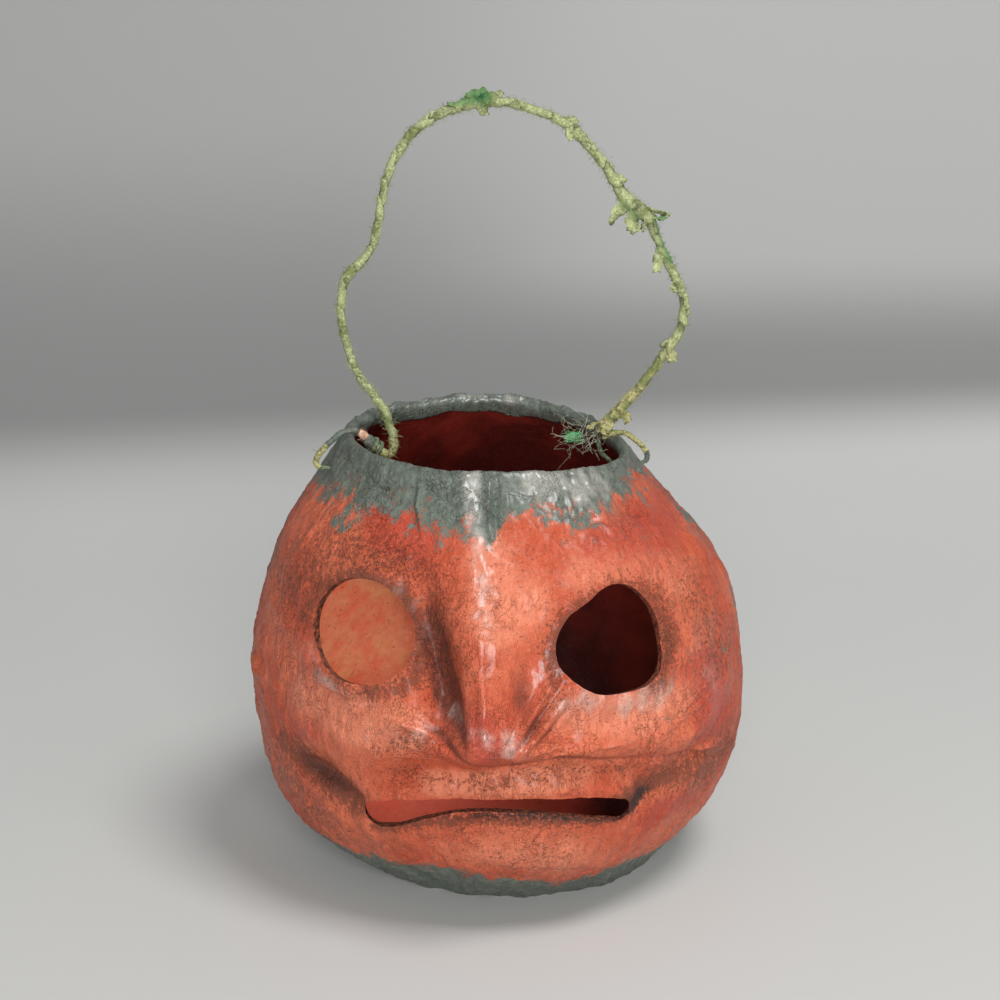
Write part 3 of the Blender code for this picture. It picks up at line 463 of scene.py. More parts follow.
def painted_wall(name):
    """Salmon and orange-red paint brushed over crumpled paper, umber with painted shade, painted highlights, a
    grey-green edge.
    """
    finish = Finish(name)
    grain, mask, step = finish.grain, finish.mask, finish.step
    patches = step(grain(30.0, 4.0, 0.65), 0.40, 0.60)
    fine = grain(1700.0, 3.0, 0.75)
    dabs = grain(380.0, 6.0, 0.8, (1.0, 1.0, 0.7))
    specks = grain(900.0, 3.0, 0.7)
    umber_and_painted_shade, sheen = mask("umber_and_painted_shade"), mask("sheen")
    colour = finish.cover(
        finish.mix(patches, (190, 77, 44), (208, 102, 67)),
        (mask("red") + (dabs - 0.5) * 1.3, 0.30, 0.75, 0.80, (178, 58, 36)),
        # Pale salmon paint and painted highlight.
        (mask("light") + (dabs - 0.5) * 1.3, 0.30, 0.80, 0.70, (232, 140, 106)),
        (grain(420.0, 4.0, 0.65, (1.0, 1.0, 0.16)), 0.42, 0.66, 0.34, (170, 64, 36)),
        (dabs, 0.50, 0.60, 0.42, (166, 70, 42)),
        (fine, 0.56, 0.66, 0.38, (232, 152, 118)))
    # Umber with painted shade in the hollows; the dark stipple gathers there too.
    colour = finish.mix(umber_and_painted_shade * 0.42, colour, (132, 66, 38))
    spread = umber_and_painted_shade * 0.8 + (dabs - 0.5) * 1.2 + (specks - 0.5) * 2.3 + (fine - 0.5) * 1.2
    stipple = step(spread, 0.42, 0.62)
    colour = finish.mix(stipple * 0.74, colour, (112, 54, 32))
    ragged = grain(170.0, 5.0, 0.65, (1.0, 1.0, 0.35))
    green = mask("green") + (ragged - 0.5) * 1.7 + (grain(60.0, 2.0) - 0.5) + (dabs - 0.5) * 1.1 + (fine - 0.5) * 0.9
    greens = finish.cover(finish.mix(step(dabs, 0.36, 0.64), (58, 86, 78), (98, 120, 110)),
                          (grain(1100.0, 2.0), 0.68, 0.74, 0.75, (26, 30, 28)))
    # A painted sheen: pale grey mixed into the colour where the sheen mask is strong.
    painted_sheen = sheen + (grain(210.0, 3.0, 0.6, (1.0, 1.0, 0.5)) - 0.5) * 1.6
    colour = finish.cover(
        colour,
        # The deepest umber and painted shade, in the darkest hollows.
        (umber_and_painted_shade * 0.75 + (fine - 0.5) * 1.6, 0.62, 1.05, 0.60, (56, 30, 22)),
        # Umber in the grooves of the wrinkles, painting shade into the folds.
        (mask("crease") + (fine - 0.5) * 0.6, 0.30, 0.95, 0.70, (78, 36, 24)),
        # Painted shadow along the mouth.
        (mask("painted_mouth_shadow") + (specks - 0.5) * 1.2, 0.25, 0.75, 0.90, (34, 22, 18)),
        (green, 0.44, 0.60, 0.92, greens),
        # Painted sheen.
        (painted_sheen, 0.55, 1.15, 0.34, (222, 214, 204)))
    lines = 0.0
    for scale, stretch in ((75.0, (1.0, 1.0, 1.9)), (130.0, (1.8, 1.2, 0.8)), (240.0, (1.0, 1.0, 0.7))):
        contour = grain(scale, 3.0, 0.6, stretch) - 0.5
        lines = lines + step(contour.math("ABSOLUTE", contour), 0.020, 0.0)
    rumpled = 0.25 + 0.75 * step(grain(42.0, 2.0), 0.46, 0.58)
    height = grain(520.0, 6.0, 0.66, (1.0, 1.0, 0.5)) + 0.30 * lines * rumpled - 0.22 * stipple + 0.45 * fine
    finish.shine(Base_Color=colour, Roughness=0.38 + 0.22 * dabs - 0.12 * sheen,
                 Coat_Weight=0.08 + 0.12 * patches + 0.92 * sheen, Coat_Roughness=0.27, Specular_IOR_Level=0.42,
                 Normal=finish.bump(height, 0.0010))
    return finish.material


def lining_with_painted_light_and_shade(name):
    """Red inside paint with painted light and shade: deep red where the inside is in shade, brighter orange where the
    light falls in through the openings.
    """
    finish = Finish(name)
    grain, step = finish.grain, finish.step
    dabs = grain(85.0, 5.0, 0.65, (1.0, 1.0, 0.6))
    # Painted light: brighter orange, turning salmon low down.
    painted_lit = finish.cover(
        finish.mix(step(grain(120.0, 5.0, 0.7), 0.36, 0.62), (255, 128, 92), (255, 156, 114)),
        (grain(60.0, 3.0), 0.54, 0.70, 0.24, (255, 180, 96)),
        (finish.along("Z"), 0.050, 0.030, 0.85, (216, 88, 70)))
    # Painted shade: deep red.
    painted_shaded = finish.mix(step(grain(38.0, 3.0), 0.36, 0.70), (58, 12, 9), (112, 32, 23))
    colour = finish.mix(step(finish.mask("painted_light_inside") + (dabs - 0.5) * 0.5, 0.15, 0.60), painted_shaded, painted_lit)
    colour = finish.cover(colour, (grain(700.0, 3.0), 0.60, 0.74, 0.50, (96, 30, 20)))
    finish.shine(Base_Color=colour, Roughness=0.30 + 0.2 * dabs, Normal=finish.bump(grain(240.0, 5.0, 0.6), 0.0006))
    return finish.material


wall_paint = painted_wall("orange_paper_paint")
inside_paint = lining_with_painted_light_and_shade("inside_paint")
edge_paint = speckled("cut_edge_paint", (800.0, 3.0), 0.40, 0.62, (66, 34, 24), (138, 70, 46), 0.6, depth=0.0002)


def face_cutter(name):
    centre, turn, lean, outline = OPENINGS[name]
    curve = bpy.data.curves.new(name, "CURVE")
    curve.dimensions = "2D"
    curve.fill_mode = "BOTH"
    curve.extrude = CUT_DEPTH / 2
    curve.resolution_u = 10
    spline = curve.splines.new("BEZIER")
    spline.bezier_points.add(len(outline) - 1)
    for point, (across, up) in zip(spline.bezier_points, outline):
        point.co = (across * MM, up * MM, 0.0)
        point.handle_left_type = point.handle_right_type = "AUTO"
    spline.use_cyclic_u = True
    cutter = add_object(name, curve)
    cutter.location = [value * MM for value in centre]
    cutter.rotation_euler = (math.radians(90.0 - lean), 0.0, math.radians(turn))
    return cutter


def baked_mesh(piece):
    """The piece's final mesh, welded and with its place applied; the piece itself goes."""
    mesh = final_mesh(piece)
    mesh.transform(piece.matrix_world)
    form = bmesh.new()
    form.from_mesh(mesh)
    bmesh.ops.remove_doubles(form, verts=form.verts, dist=WELD)
    form.to_mesh(mesh)
    form.free()
    bpy.data.objects.remove(piece, do_unlink=True)
    return mesh


def hole_cutter(name, hole, inward):
    bpy.ops.mesh.primitive_cylinder_add(vertices=24, radius=HOLE_RADIUS, depth=HOLE_LENGTH)
    cutter = bpy.context.active_object
    cutter.name = name
    cutter.location = hole + inward * (HOLE_LENGTH / 2 - HOLE_START)
    cutter.rotation_euler = inward.to_track_quat("Z", "Y").to_euler()
    return cutter


def write_masks(mesh):
    """Stores where each paint and each painted light and shade lies, as attributes that the finishes read."""
    x, y, z = spots_of(mesh).T
    azimuth = np.arctan2(x, -y)
    front = facing(azimuth)
    degrees = np.degrees(azimuth)
    band = (z / MM - np.interp(degrees, *GREEN_EDGE.T)) / 19.0
    foot = (np.interp(degrees, *GREEN_BASE.T) - z / MM) / 9.0
    flank = np.exp(-((np.abs(degrees) - 97.0) / 22.0) ** 2) * ease(0.045, 0.10, z) * 0.47
    runs = 0.40 * ease(0.085, 0.135, z) * (1 - front)
    # Where painted light falls inside: the back wall at the left, seen through the left eye, the floor towards the
    # left, and a strip under the rim at the left.
    through_eye = np.exp(-((x + 0.055) / 0.030) ** 2 - ((y - 0.050) / 0.045) ** 2 - ((z - 0.055) / 0.034) ** 2)
    on_floor = 0.95 * ease(0.042, 0.020, z) * ease(0.055, 0.000, x)
    below_rim = 0.17 * ease(0.030, -0.045, x) * ease(0.095, 0.115, z)
    # How deep each wrinkle's groove is; the wall paints shade into these folds.
    creases = sum(np.maximum(-stroke(points, x, z, width * 1.1), 0.0) / 0.9 for width, points in WRINKLES.values())
    masks = {
        "green": np.maximum(np.clip(np.maximum(band, foot) + 0.5, 0.0, 1.4), np.maximum(flank, runs)),
        "umber_and_painted_shade": 0.11 + front * strongest(UMBER_AND_PAINTED_SHADE, x, z) + 0.22 * (1 - front),
        "painted_mouth_shadow": front * strongest(PAINTED_MOUTH_SHADOW, x, z),
        "light": 0.15 + front * strongest(PALE_PAINT_AND_HIGHLIGHT, x, z),
        "red": 0.12 + front * strongest(RED, x, z) + 0.3 * (1 - front),
        "painted_light_inside": np.maximum(through_eye, on_floor) + below_rim,
        # A pale painted glint on the top of the rim at the back.
        "sheen": np.maximum(front * strongest(SHEEN, x, z), 0.7 * ease(0.144, 0.149, z) * ease(0.0, 0.03, y)),
        "crease": front * creases}
    for name, values in masks.items():
        write(mesh, name, np.clip(values, 0.0, 1.5))


wall_azimuths = columns(COLUMNS_FRONT, COLUMNS_BACK)
wall_heights = np.linspace(SEAM_HEIGHT, SHELL_HEIGHT, RINGS)
lining_heights = wall_heights[::-1][::3]
if lining_heights[-1] > SEAM_HEIGHT:
    lining_heights = np.append(lining_heights, SEAM_HEIGHT)
rings = [skin(wall_azimuths, height, fine=1.0) for height in wall_heights]
rings += [skin(wall_azimuths, height, WALL) for height in lining_heights]
bands = [0] * (len(wall_heights) - 1) + [2] + [1] * (len(lining_heights) - 1) + [2]
wall = piece_of("painted_wall", loft("painted_wall", rings, True, bands), wall_paint, inside_paint, edge_paint)
along_holes = (RIGHT_HOLE - LEFT_HOLE).normalized()
cutters = [add_object(name, baked_mesh(face_cutter(name))) for name in OPENINGS]
cutters += [hole_cutter("left_bail_hole", LEFT_HOLE, along_holes),
            hole_cutter("right_bail_hole", RIGHT_HOLE, -along_holes)]
for cutter in cutters:
    cutter.data.materials.clear()
    cutter.data.materials.append(edge_paint)
    boolean = wall.modifiers.new(cutter.name, "BOOLEAN")
    boolean.operation = "DIFFERENCE"
    boolean.solver = "MANIFOLD"
    boolean.material_mode = "TRANSFER"
    boolean.object = cutter
cut_mesh = final_mesh(wall)
wall.modifiers.clear()
wall.data = cut_mesh
for cutter in cutters:
    bpy.data.objects.remove(cutter, do_unlink=True)
write_masks(wall.data)
wall.data.shade_smooth()
wall.data.set_sharp_from_angle(angle=math.radians(55.0))
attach(wall, "shell")
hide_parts("pumpkin_shell")

# The base
# A flat pasted bottom whose edge carries the wall's outline down to the table.
# Its lap is glued inside the wall, and it is painted grey-green like the rim.
GAP = 0.0003
BASE_PAPER = 0.0022
LAP = 0.0055
TONGUE = 0.0012
BUTT = -0.00005          # how far the base stops short of the wall's lower edge
base_azimuths = columns(180, 70)
outside = skin(base_azimuths, 0.0)
outside[:, 2] = 0.0
middle = outside.mean(axis=0)
floor_ring = middle + (outside - middle) * 0.9
floor_ring[:, 2] = BASE_PAPER
base_rings = [outside]
base_rings += [skin(base_azimuths, SEAM_HEIGHT * share, fine=1.0) for share in np.linspace(0.1, 0.95, 9)]
base_rings += [skin(base_azimuths, SEAM_HEIGHT, rise=BUTT, fine=1.0),
               skin(base_azimuths, SEAM_HEIGHT, WALL + GAP, BUTT),
               skin(base_azimuths, SEAM_HEIGHT + LAP, WALL + GAP),
               skin(base_azimuths, SEAM_HEIGHT + LAP, WALL + GAP + TONGUE),
               skin(base_azimuths, SEAM_HEIGHT * 0.6, BASE_PAPER + TONGUE), floor_ring]
base_mesh = loft("painted_base", base_rings, False, [0] * 12 + [1] * 3)
base_mesh.polygons[len(base_mesh.polygons) - 1].material_index = 1
base = piece_of("painted_base", base_mesh, wall_paint, inside_paint)
write_masks(base.data)
base.data.shade_smooth()
base.data.set_sharp_from_angle(angle=math.radians(50.0))
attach(base, "shell")
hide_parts("base_cap")

# The bound rim
# A strip of wet paper folded over the cut edge and pressed down, so its laps and creases show at the back.
# It is painted with the same grey-green.
RIM_SECTION = [  # below the rim, depth into the wall, rise above it, and how much it wrinkles
    (5.6, 0.06, 0, 0), (4.2, -0.12, 0, 0.3), (2.8, -0.3, 0, 0.7), (1.2, -0.55, 0, 1), (0, -0.7, 0.2, 1),
    (0, -0.4, 0.8, 1), (0, 0.3, 1.1, 1), (0, 1.1, 1.2, 1), (0, 1.9, 1.1, 1), (0, 2.7, 0.7, 1), (0.2, 3.3, 0, 1),
    (1.4, 3.5, 0, 1), (2.6, 3.6, 0, 1), (3.7, 3.3, 0, 1), (3.7, 2.9, 0, 0), (1.2, 2.8, 0, 0), (0, 2.7, 0.1, 0),
    (0, 1.25, 0.3, 0), (0, -0.1, 0.1, 0), (3, 0.1, 0, 0), (5.6, 0.3, 0, 0)]
RIM_FOLD_DEPTH, RIM_FOLD_RISE = 0.00034, 0.00052
rim_azimuths = columns(480, 340)
around_points = np.stack([np.sin(rim_azimuths), np.cos(rim_azimuths), np.zeros_like(rim_azimuths)], axis=-1)
turns = np.angle(np.exp(1j * rim_azimuths))
calm = 1.0 - sum(0.92 * np.exp(-((turns - math.atan2(hole.x, -hole.y)) / 0.22) ** 2)
                 for hole in (LEFT_HOLE, RIGHT_HOLE))
stronger_behind = 1.0 + 0.9 * ease(0.1, -0.5, np.cos(rim_azimuths))
uneven_edge = 1 + 0.22 * np.sin(rim_azimuths * 7.0) + 0.14 * np.sin(rim_azimuths * 19.0 + 2.0)
rim_rings = []
for below, depth, rise, share in RIM_SECTION:
    below, depth, rise = below * MM, depth * MM, rise * MM
    level = np.zeros_like(around_points)
    level[:, 2] = (depth + rise - below * 0.7) * 170.0
    folds = (crumple(around_points * 3.0 + level, 1.0, 4) * 0.5 + crumple(around_points * 9.0 + level, 1.0, 5) * 0.35
             + crumple(around_points * 24.0 + level * 3.0, 1.0, 6) * 0.25) * share * calm * stronger_behind
    outer_face = depth < 0.0001 and below > 0.0
    rim_rings.append(skin(rim_azimuths, SHELL_HEIGHT - below * uneven_edge, depth - RIM_FOLD_DEPTH * folds,
                          rise + RIM_FOLD_RISE * folds * (below < 0.001), 1.0 if outer_face else 0.0))
rim = piece_of("bound_rim", loft("bound_rim", rim_rings, True), wall_paint)
write_masks(rim.data)
rim.data.shade_smooth()
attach(rim, "shell")
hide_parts("rim_binding")

# The bail's core wire
# Soft iron wire in one length: each end goes over the rim, in through its hole and round its own strand.
# It was brushed with the rim's grey-green where it lies on the pumpkin.
wire_paint = speckled("bail_wire_paint", (900.0, 4.0, 0.7), 0.40, 0.62, (72, 84, 66), (112, 124, 92), 0.45, 0.25,
                      0.00012)
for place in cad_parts["bail_wire"].material_slots:
    place.material = wire_paint

# The crepe paper of the bail
# A narrow strip of straw-green crepe wound up the wire in a spiral, pulled tight where the wire is straight and
# lapped in lumps where one strip ends and the next begins. Its torn ends stand away.
LEFT_STRETCHES = {
    "hook": [(21.2, 4.2), (22.6, 6.2)],
    "left_lower": [(22.4, 10), (19.4, 18.5), (14.9, 25), (11.5, 29.2), (8.4, 35), (6.2, 41), (4.2, 51), (4.5, 59)],
    "left_upper": [(5.8, 62.8), (8.5, 65.9), (12, 69.5), (14.1, 73.8), (15.4, 81), (16.7, 90.5), (19, 98.4),
        (22, 104.1)],
    "top": [(25.7, 108.8), (30.7, 113), (36, 115.6), (40.8, 117.3), (45.8, 118.8), (50, 119), (54.6, 118.8)]}
RIGHT_STRETCHES = {  # measured from the right hole
    "right_shoulder": [(-47.4, 117.9), (-40.7, 116), (-34.1, 113.6), (-29.6, 110.8)],
    "right_upper": [(-23.7, 105.1), (-18, 99.2), (-13.9, 93.2), (-10.1, 88.2), (-5.9, 85.2), (-2.3, 81.8)],
    "right_lower": [(0.1, 77), (4.6, 68.7), (8.1, 62.5), (10.7, 57.5), (11.7, 53), (11.5, 48.7), (10, 43.6),
        (7.1, 39.6), (2.9, 32.6), (-1.9, 26), (-5.7, 21.7), (-9.3, 17.7)],
    "coil": [(-10.5, 16.3), (-13.5, 12.7)]}
WRAP_RADIUS = 0.0015
WRAPS = {  # the CAD nodes that a winding stands for, and its thickness along the stretch of that name
    "wrap_left_lower": [1.0, 1.1, 1.0, 0.95, 0.95, 1.0, 1.0, 1.05, 1.25],
    "wrap_left_upper": [1.25, 1.2, 1.0, 1.0, 1.0, 1.0, 1.1, 1.1, 1.15],
    "wrap_top": [1.1, 1.25, 1.2, 1.35, 1.65, 1.45, 1.1, 1.2],
    "wrap_right_shoulder": [1.15, 1.05, 1.15, 1.55, 1.2],
    "wrap_right_upper": [1.15, 1.25, 1.35, 1.7, 2.0, 1.5, 1.05],
    "wrap_right_lower": [1.0, 1.15, 1.1, 1.15, 1.2, 1.2, 1.15, 1.2, 1.1, 1.2, 1.3, 1.35]}
span = (RIGHT_HOLE - LEFT_HOLE).length
forward_of_bail = along_holes.cross(Vector((0.0, 0.0, 1.0))).normalized()
up_of_bail = forward_of_bail.cross(along_holes)
stretches = {name: [(start + x * MM, y * MM, 0.0) for x, y in points]
             for start, side in ((0.0, LEFT_STRETCHES), (span, RIGHT_STRETCHES)) for name, points in side.items()}


def in_bail(point):
    """A point of the bail's plane: along the holes from the left one, up, and forward."""
    return LEFT_HOLE + along_holes * point[0] + up_of_bail * point[1] + forward_of_bail * point[2]


def smooth_path(points, step):
    """Points along a smooth curve through the route, and the place of each route point among them."""
    route = [np.array(point, float) for point in points]
    padded = [2 * route[0] - route[1]] + route + [2 * route[-1] - route[-2]]
    path, places = [route[0]], [0]
    for p0, p1, p2, p3 in zip(padded, padded[1:], padded[2:], padded[3:]):
        count = max(1, round(float(np.linalg.norm(p2 - p1)) / step))
        knots = [0.0]
        for start, end in ((p0, p1), (p1, p2), (p2, p3)):
            knots.append(knots[-1] + math.sqrt(float(np.linalg.norm(end - start))))
        for k in range(1, count + 1):
            t = knots[1] + (knots[2] - knots[1]) * k / count
            low = [((knots[j + 1] - t) * a + (t - knots[j]) * b) / (knots[j + 1] - knots[j])
                   for j, (a, b) in enumerate(((p0, p1), (p1, p2), (p2, p3)))]
            mid = [((knots[j + 2] - t) * low[j] + (t - knots[j]) * low[j + 1]) / (knots[j + 2] - knots[j])
                   for j in (0, 1)]
            path.append(((knots[2] - t) * mid[0] + (t - knots[1]) * mid[1]) / (knots[2] - knots[1]))
        places.append(len(path) - 1)
    return path, places


def geometry_tree(name, sockets):
    """A Geometry Nodes tree with named inputs: its graph, its input sockets and where its result goes."""
    tree = bpy.data.node_groups.new(name, "GeometryNodeTree")
    for label, kind in sockets:
        tree.interface.new_socket(label, in_out="INPUT", socket_type="NodeSocket" + kind)
    tree.interface.new_socket("Result", in_out="OUTPUT", socket_type="NodeSocketGeometry")
    graph = Graph(tree)
    source = tree.nodes.new("NodeGroupInput")
    sink = tree.nodes.new("NodeGroupOutput")
    return graph, {label: Socket(graph, source.outputs[label]) for label, kind in sockets}, sink.inputs["Result"]


def grow(name, data, graph, values):
    """Runs a tree on the data and keeps the result as a plain mesh."""
    seed_object = add_object(name, data)
    modifier = seed_object.modifiers.new("grow", "NODES")
    modifier.node_group = graph.tree
    for item in graph.tree.interface.items_tree:
        if item.name in values:
            modifier[item.identifier] = values[item.name]
    mesh = final_mesh(seed_object)
    bpy.data.objects.remove(seed_object, do_unlink=True)
    return mesh


def threads(graph, points, turn, length, knots, smallest, seed, scale, curl, sides, radius):
    """A thread from each point: straight, of its own size, then bent by noise of that scale and made round."""
    geo, node = graph.geo, graph.node
    line = geo("CurvePrimitiveLine", {"mode": "DIRECTION"}, {"Direction": (0.0, 0.0, 1.0), "Length": length})
    line = geo("ResampleCurve", {"mode": "COUNT"}, {"Curve": line, "Count": knots})
    size = node("FunctionNodeRandomValue", {"data_type": "FLOAT"}, {2: smallest, 3: 1.0, "Seed": seed}, 1)
    made = geo("InstanceOnPoints", {}, {"Points": points, "Instance": line, "Rotation": turn, "Scale": size})
    made = geo("RealizeInstances", {}, {"Geometry": made})
    bend = node("ShaderNodeTexNoise", {}, {"Scale": scale, "Detail": 0.0}, 1)
    bend = graph.vector("SUBTRACT", bend, (0.5, 0.5, 0.5))
    bend = graph.vector("SCALE", bend, curl * geo("SplineParameter"))
    made = geo("SetPosition", {}, {"Geometry": made, "Offset": bend})
    ring = geo("CurvePrimitiveCircle", {}, {"Resolution": sides, "Radius": radius})
    return geo("CurveToMesh", {}, {"Curve": made, "Profile Curve": ring, "Fill Caps": True})


def winding_tree():
    """A strip wound round a route: its laps run in a spiral, and the paper is crumpled and fuzzy."""
    graph, given, result = geometry_tree("crepe_winding", [
        ("Route", "Geometry"), ("Thickness", "Float"), ("Pitch", "Float"), ("Lap", "Float"), ("Crumple", "Float"),
        ("Spacing", "Float"), ("Fuzz", "Float"), ("Paper", "Material")])
    geo, node = graph.geo, graph.node

    def store(geometry, name, value):
        return geo("StoreNamedAttribute", {"data_type": "FLOAT", "domain": "POINT"},
                   {"Geometry": geometry, "Name": name, "Value": value})

    route = geo("ResampleCurve", {"mode": "LENGTH"}, {"Curve": given["Route"], "Length": given["Spacing"]})
    route = store(route, "along", geo("SplineParameter", output="Length"))
    ring = geo("CurvePrimitiveCircle", {}, {"Resolution": 18, "Radius": given["Thickness"]})
    ring = store(ring, "around", geo("SplineParameter", output="Factor"))
    tube = geo("CurveToMesh", {}, {"Curve": route, "Profile Curve": ring, "Fill Caps": True,
                                   "Scale": geo("InputRadius")})
    along, around = (geo("InputNamedAttribute", {"data_type": "FLOAT"}, {"Name": name})
                     for name in ("along", "around"))
    wander = node("ShaderNodeTexNoise", {}, {"Scale": 150.0, "Detail": 1.0})
    turn = around + along.math("DIVIDE", along, given["Pitch"]) + wander * 1.9
    turn = turn.math("FRACT", turn)
    tube = store(tube, "lap", turn)
    folds = node("ShaderNodeTexNoise", {}, {"Scale": 420.0, "Detail": 4.0, "Roughness": 0.7})
    push = given["Lap"] * (turn - 0.5) + given["Crumple"] * (folds - 0.5)
    offset = graph.vector("SCALE", geo("InputNormal"), push)
    tube = geo("SetPosition", {}, {"Geometry": tube, "Offset": offset})
    tube = geo("SetShadeSmooth", {}, {"Geometry": tube})
    points = geo("DistributePointsOnFaces", {}, {"Mesh": tube, "Density": given["Fuzz"]})
    stand = Socket(graph, points.output.node.outputs["Rotation"])
    hairs = threads(graph, points, stand, length=0.0009, knots=5, smallest=0.25, seed=4, scale=900.0, curl=0.0055,
                    sides=3, radius=0.000038)
    hairs = store(hairs, "lap", 0.9)
    both = graph.tree.nodes.new("GeometryNodeJoinGeometry")
    for part in (tube, hairs):
        graph.tree.links.new(part.output, both.inputs[0])
    both = geo("RealizeInstances", {}, {"Geometry": Socket(graph, both.outputs[0])})
    graph.feed(result, geo("SetMaterial", {}, {"Geometry": both, "Material": given["Paper"]}))
    return graph


def route_curve(name, points, shares):
    curve = bpy.data.curves.new(name, "CURVE")
    curve.dimensions = "3D"
    spline = curve.splines.new("POLY")
    spline.points.add(len(points) - 1)
    for knot, point, share in zip(spline.points, points, shares):
        knot.co = (*in_bail(point), 1.0)
        knot.radius = share
    return curve


def crepe(name):
    """Dyed crepe paper: pale and dull on its folds, with painted shade under its laps, mossy where the green paint
    caught it.
    """
    finish = Finish(name)
    grain, mask, step = finish.grain, finish.mask, finish.step
    fibre = step(grain(1600.0, 3.0, 0.7), 0.38, 0.66)
    ochre = step(mask("ochre"), 0.0, 1.0)
    colour = finish.mix(step(grain(210.0, 4.0, 0.7), 0.36, 0.64), finish.mix(ochre, (98, 108, 60), (100, 92, 40)),
                        finish.mix(ochre, (146, 154, 102), (150, 140, 76)))
    colour = finish.cover(
        finish.mix(fibre * 0.5, colour, (212, 214, 172)),
        # Painted shade under each lap of the winding.
        (mask("lap"), 0.40, 0.0, 0.75, (64, 70, 36)),
        (grain(140.0, 3.0), 0.54, 0.64, 0.70, (90, 100, 48)),
        (mask("moss") + (fibre - 0.5) * 0.3, 0.35, 0.80, 0.80, (78, 118, 66)))
    finish.shine(Base_Color=colour, Roughness=0.82,
                 Normal=finish.bump(grain(1500.0, 4.0, 0.7) + 0.5 * mask("lap"), 0.00018))
    return finish.material


MOSS = [
    (4, [(-14, 258, 1), (-5, 259, 0.9)]), (3, [(33, 229, 0.5), (44, 218, 0.6)]),
    (3, [(23.5, 147, 0.9), (28, 144, 0.8)]), (3, [(52, 217, 0.9), (56, 204, 0.9)])]


def write_moss(mesh):
    x, y, z = spots_of(mesh).T
    write(mesh, "moss", strongest(MOSS, x, z))
    write(mesh, "ochre", np.maximum(ease(0.190, 0.150, z) * (x > 0.0), ease(0.152, 0.146, z)))


winding = winding_tree()
wrap_paper = crepe("crepe_paper")
whole, places = smooth_path(sum(stretches.values(), []), 0.0010)
first = len(stretches["hook"])
for name, shares in WRAPS.items():
    count = len(stretches[name.removeprefix("wrap_")])
    marks = places[first:first + count + 1]
    path = whole[marks[0]:marks[-1] + 1]
    thickness = np.interp(range(marks[0], marks[-1] + 1), marks, (shares + shares[-1:])[:len(marks)])
    wrap_mesh = grow(name + "_crepe", route_curve(name, path, thickness), winding, {
        "Thickness": WRAP_RADIUS * 0.88, "Pitch": 0.0082, "Lap": 0.00040, "Crumple": 0.00105, "Spacing": 0.0004,
        "Fuzz": 1.4e6, "Paper": wrap_paper})
    write_moss(wrap_mesh)
    wrap = piece_of(name + "_crepe", wrap_mesh)
    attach(wrap, "bail")
    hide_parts(name)
    first += count
LOOP_WRAPS = {  # the rest of the wire's paper: its kind, route from the hole of its side, and thickness along it
    "left_loop": ("straw", [(-1.6, 0.3), (-2.5, 1.4), (-2.2, 4), (0.8, 7.6)], [0.62, 0.66, 0.7, 0.66]),
    "left_loop_top": ("painted", [(0.5, 7.3), (1.2, 8), (5.4, 11.6), (9.5, 12.4), (11.5, 11.6)],
        [0.6, 0.64, 0.66, 0.6]),
    "left_bare_end": ("pulp", [(11, 11.8), (12.4, 11.1), (13.6, 9.9)], [0.75, 0.95, 0.85]),
    "left_coil": ("painted", [(13.4, 10.1), (14.5, 8.8), (15.8, 7.8)], [1, 1.35, 1.15]),
    "left_hook": ("straw", [(16, 7.6), (19.2, 5), (21.2, 4.2), (22.6, 6.2), (22.4, 10)], [0.95, 0.95, 0.9, 0.95, 1]),
    "right_coil": ("straw", [(-9.3, 17.7), (-10.5, 16.3), (-13.5, 12.7), (-14.3, 10.8)], [1.15, 1.3, 1.5, 1.1]),
    "right_loop": ("straw", [(-12.9, 10), (-9.4, 10.6), (-5.9, 10.3), (-1.5, 7.4), (1.8, 4)],
        [0.64, 0.58, 0.56, 0.57, 0.58]),
    "right_loop_end": ("painted", [(1.6, 4.3), (2.3, 1.6), (1.4, 0.3)], [0.6, 0.58, 0.56])}
LOOP_PAPERS = {"straw": wrap_paper, "painted": wall_paint,
               "pulp": speckled("bare_pulp", (700.0,), 0.4, 0.6, (168, 122, 100), (202, 168, 144), 0.85)}
for name, (paper, route, shares) in LOOP_WRAPS.items():
    start = span if name.startswith("right") else 0.0
    path, places = smooth_path([(start + x * MM, y * MM, 0.0) for x, y in route], 0.0006)
    thickness = np.interp(np.linspace(0, len(shares) - 1, len(path)), range(len(shares)), shares)
    pitch, folded = (0.0030, 0.00080) if name.endswith("coil") else (0.0060, 0.00045)
    loop_mesh = grow("paper_on_" + name, route_curve(name, path, thickness), winding, {
        "Thickness": WRAP_RADIUS, "Pitch": pitch, "Lap": 0.00026, "Crumple": folded, "Spacing": 0.0003,
        "Fuzz": 0.0 if paper == "painted" else 0.7e6, "Paper": LOOP_PAPERS[paper]})
    write_masks(loop_mesh)
    if paper == "painted":
        loop_mesh.attributes["green"].data.foreach_set("value", [1.5] * len(loop_mesh.vertices))
    write_moss(loop_mesh)
    loop = piece_of("paper_on_" + name, loop_mesh)
    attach(loop, "bail")

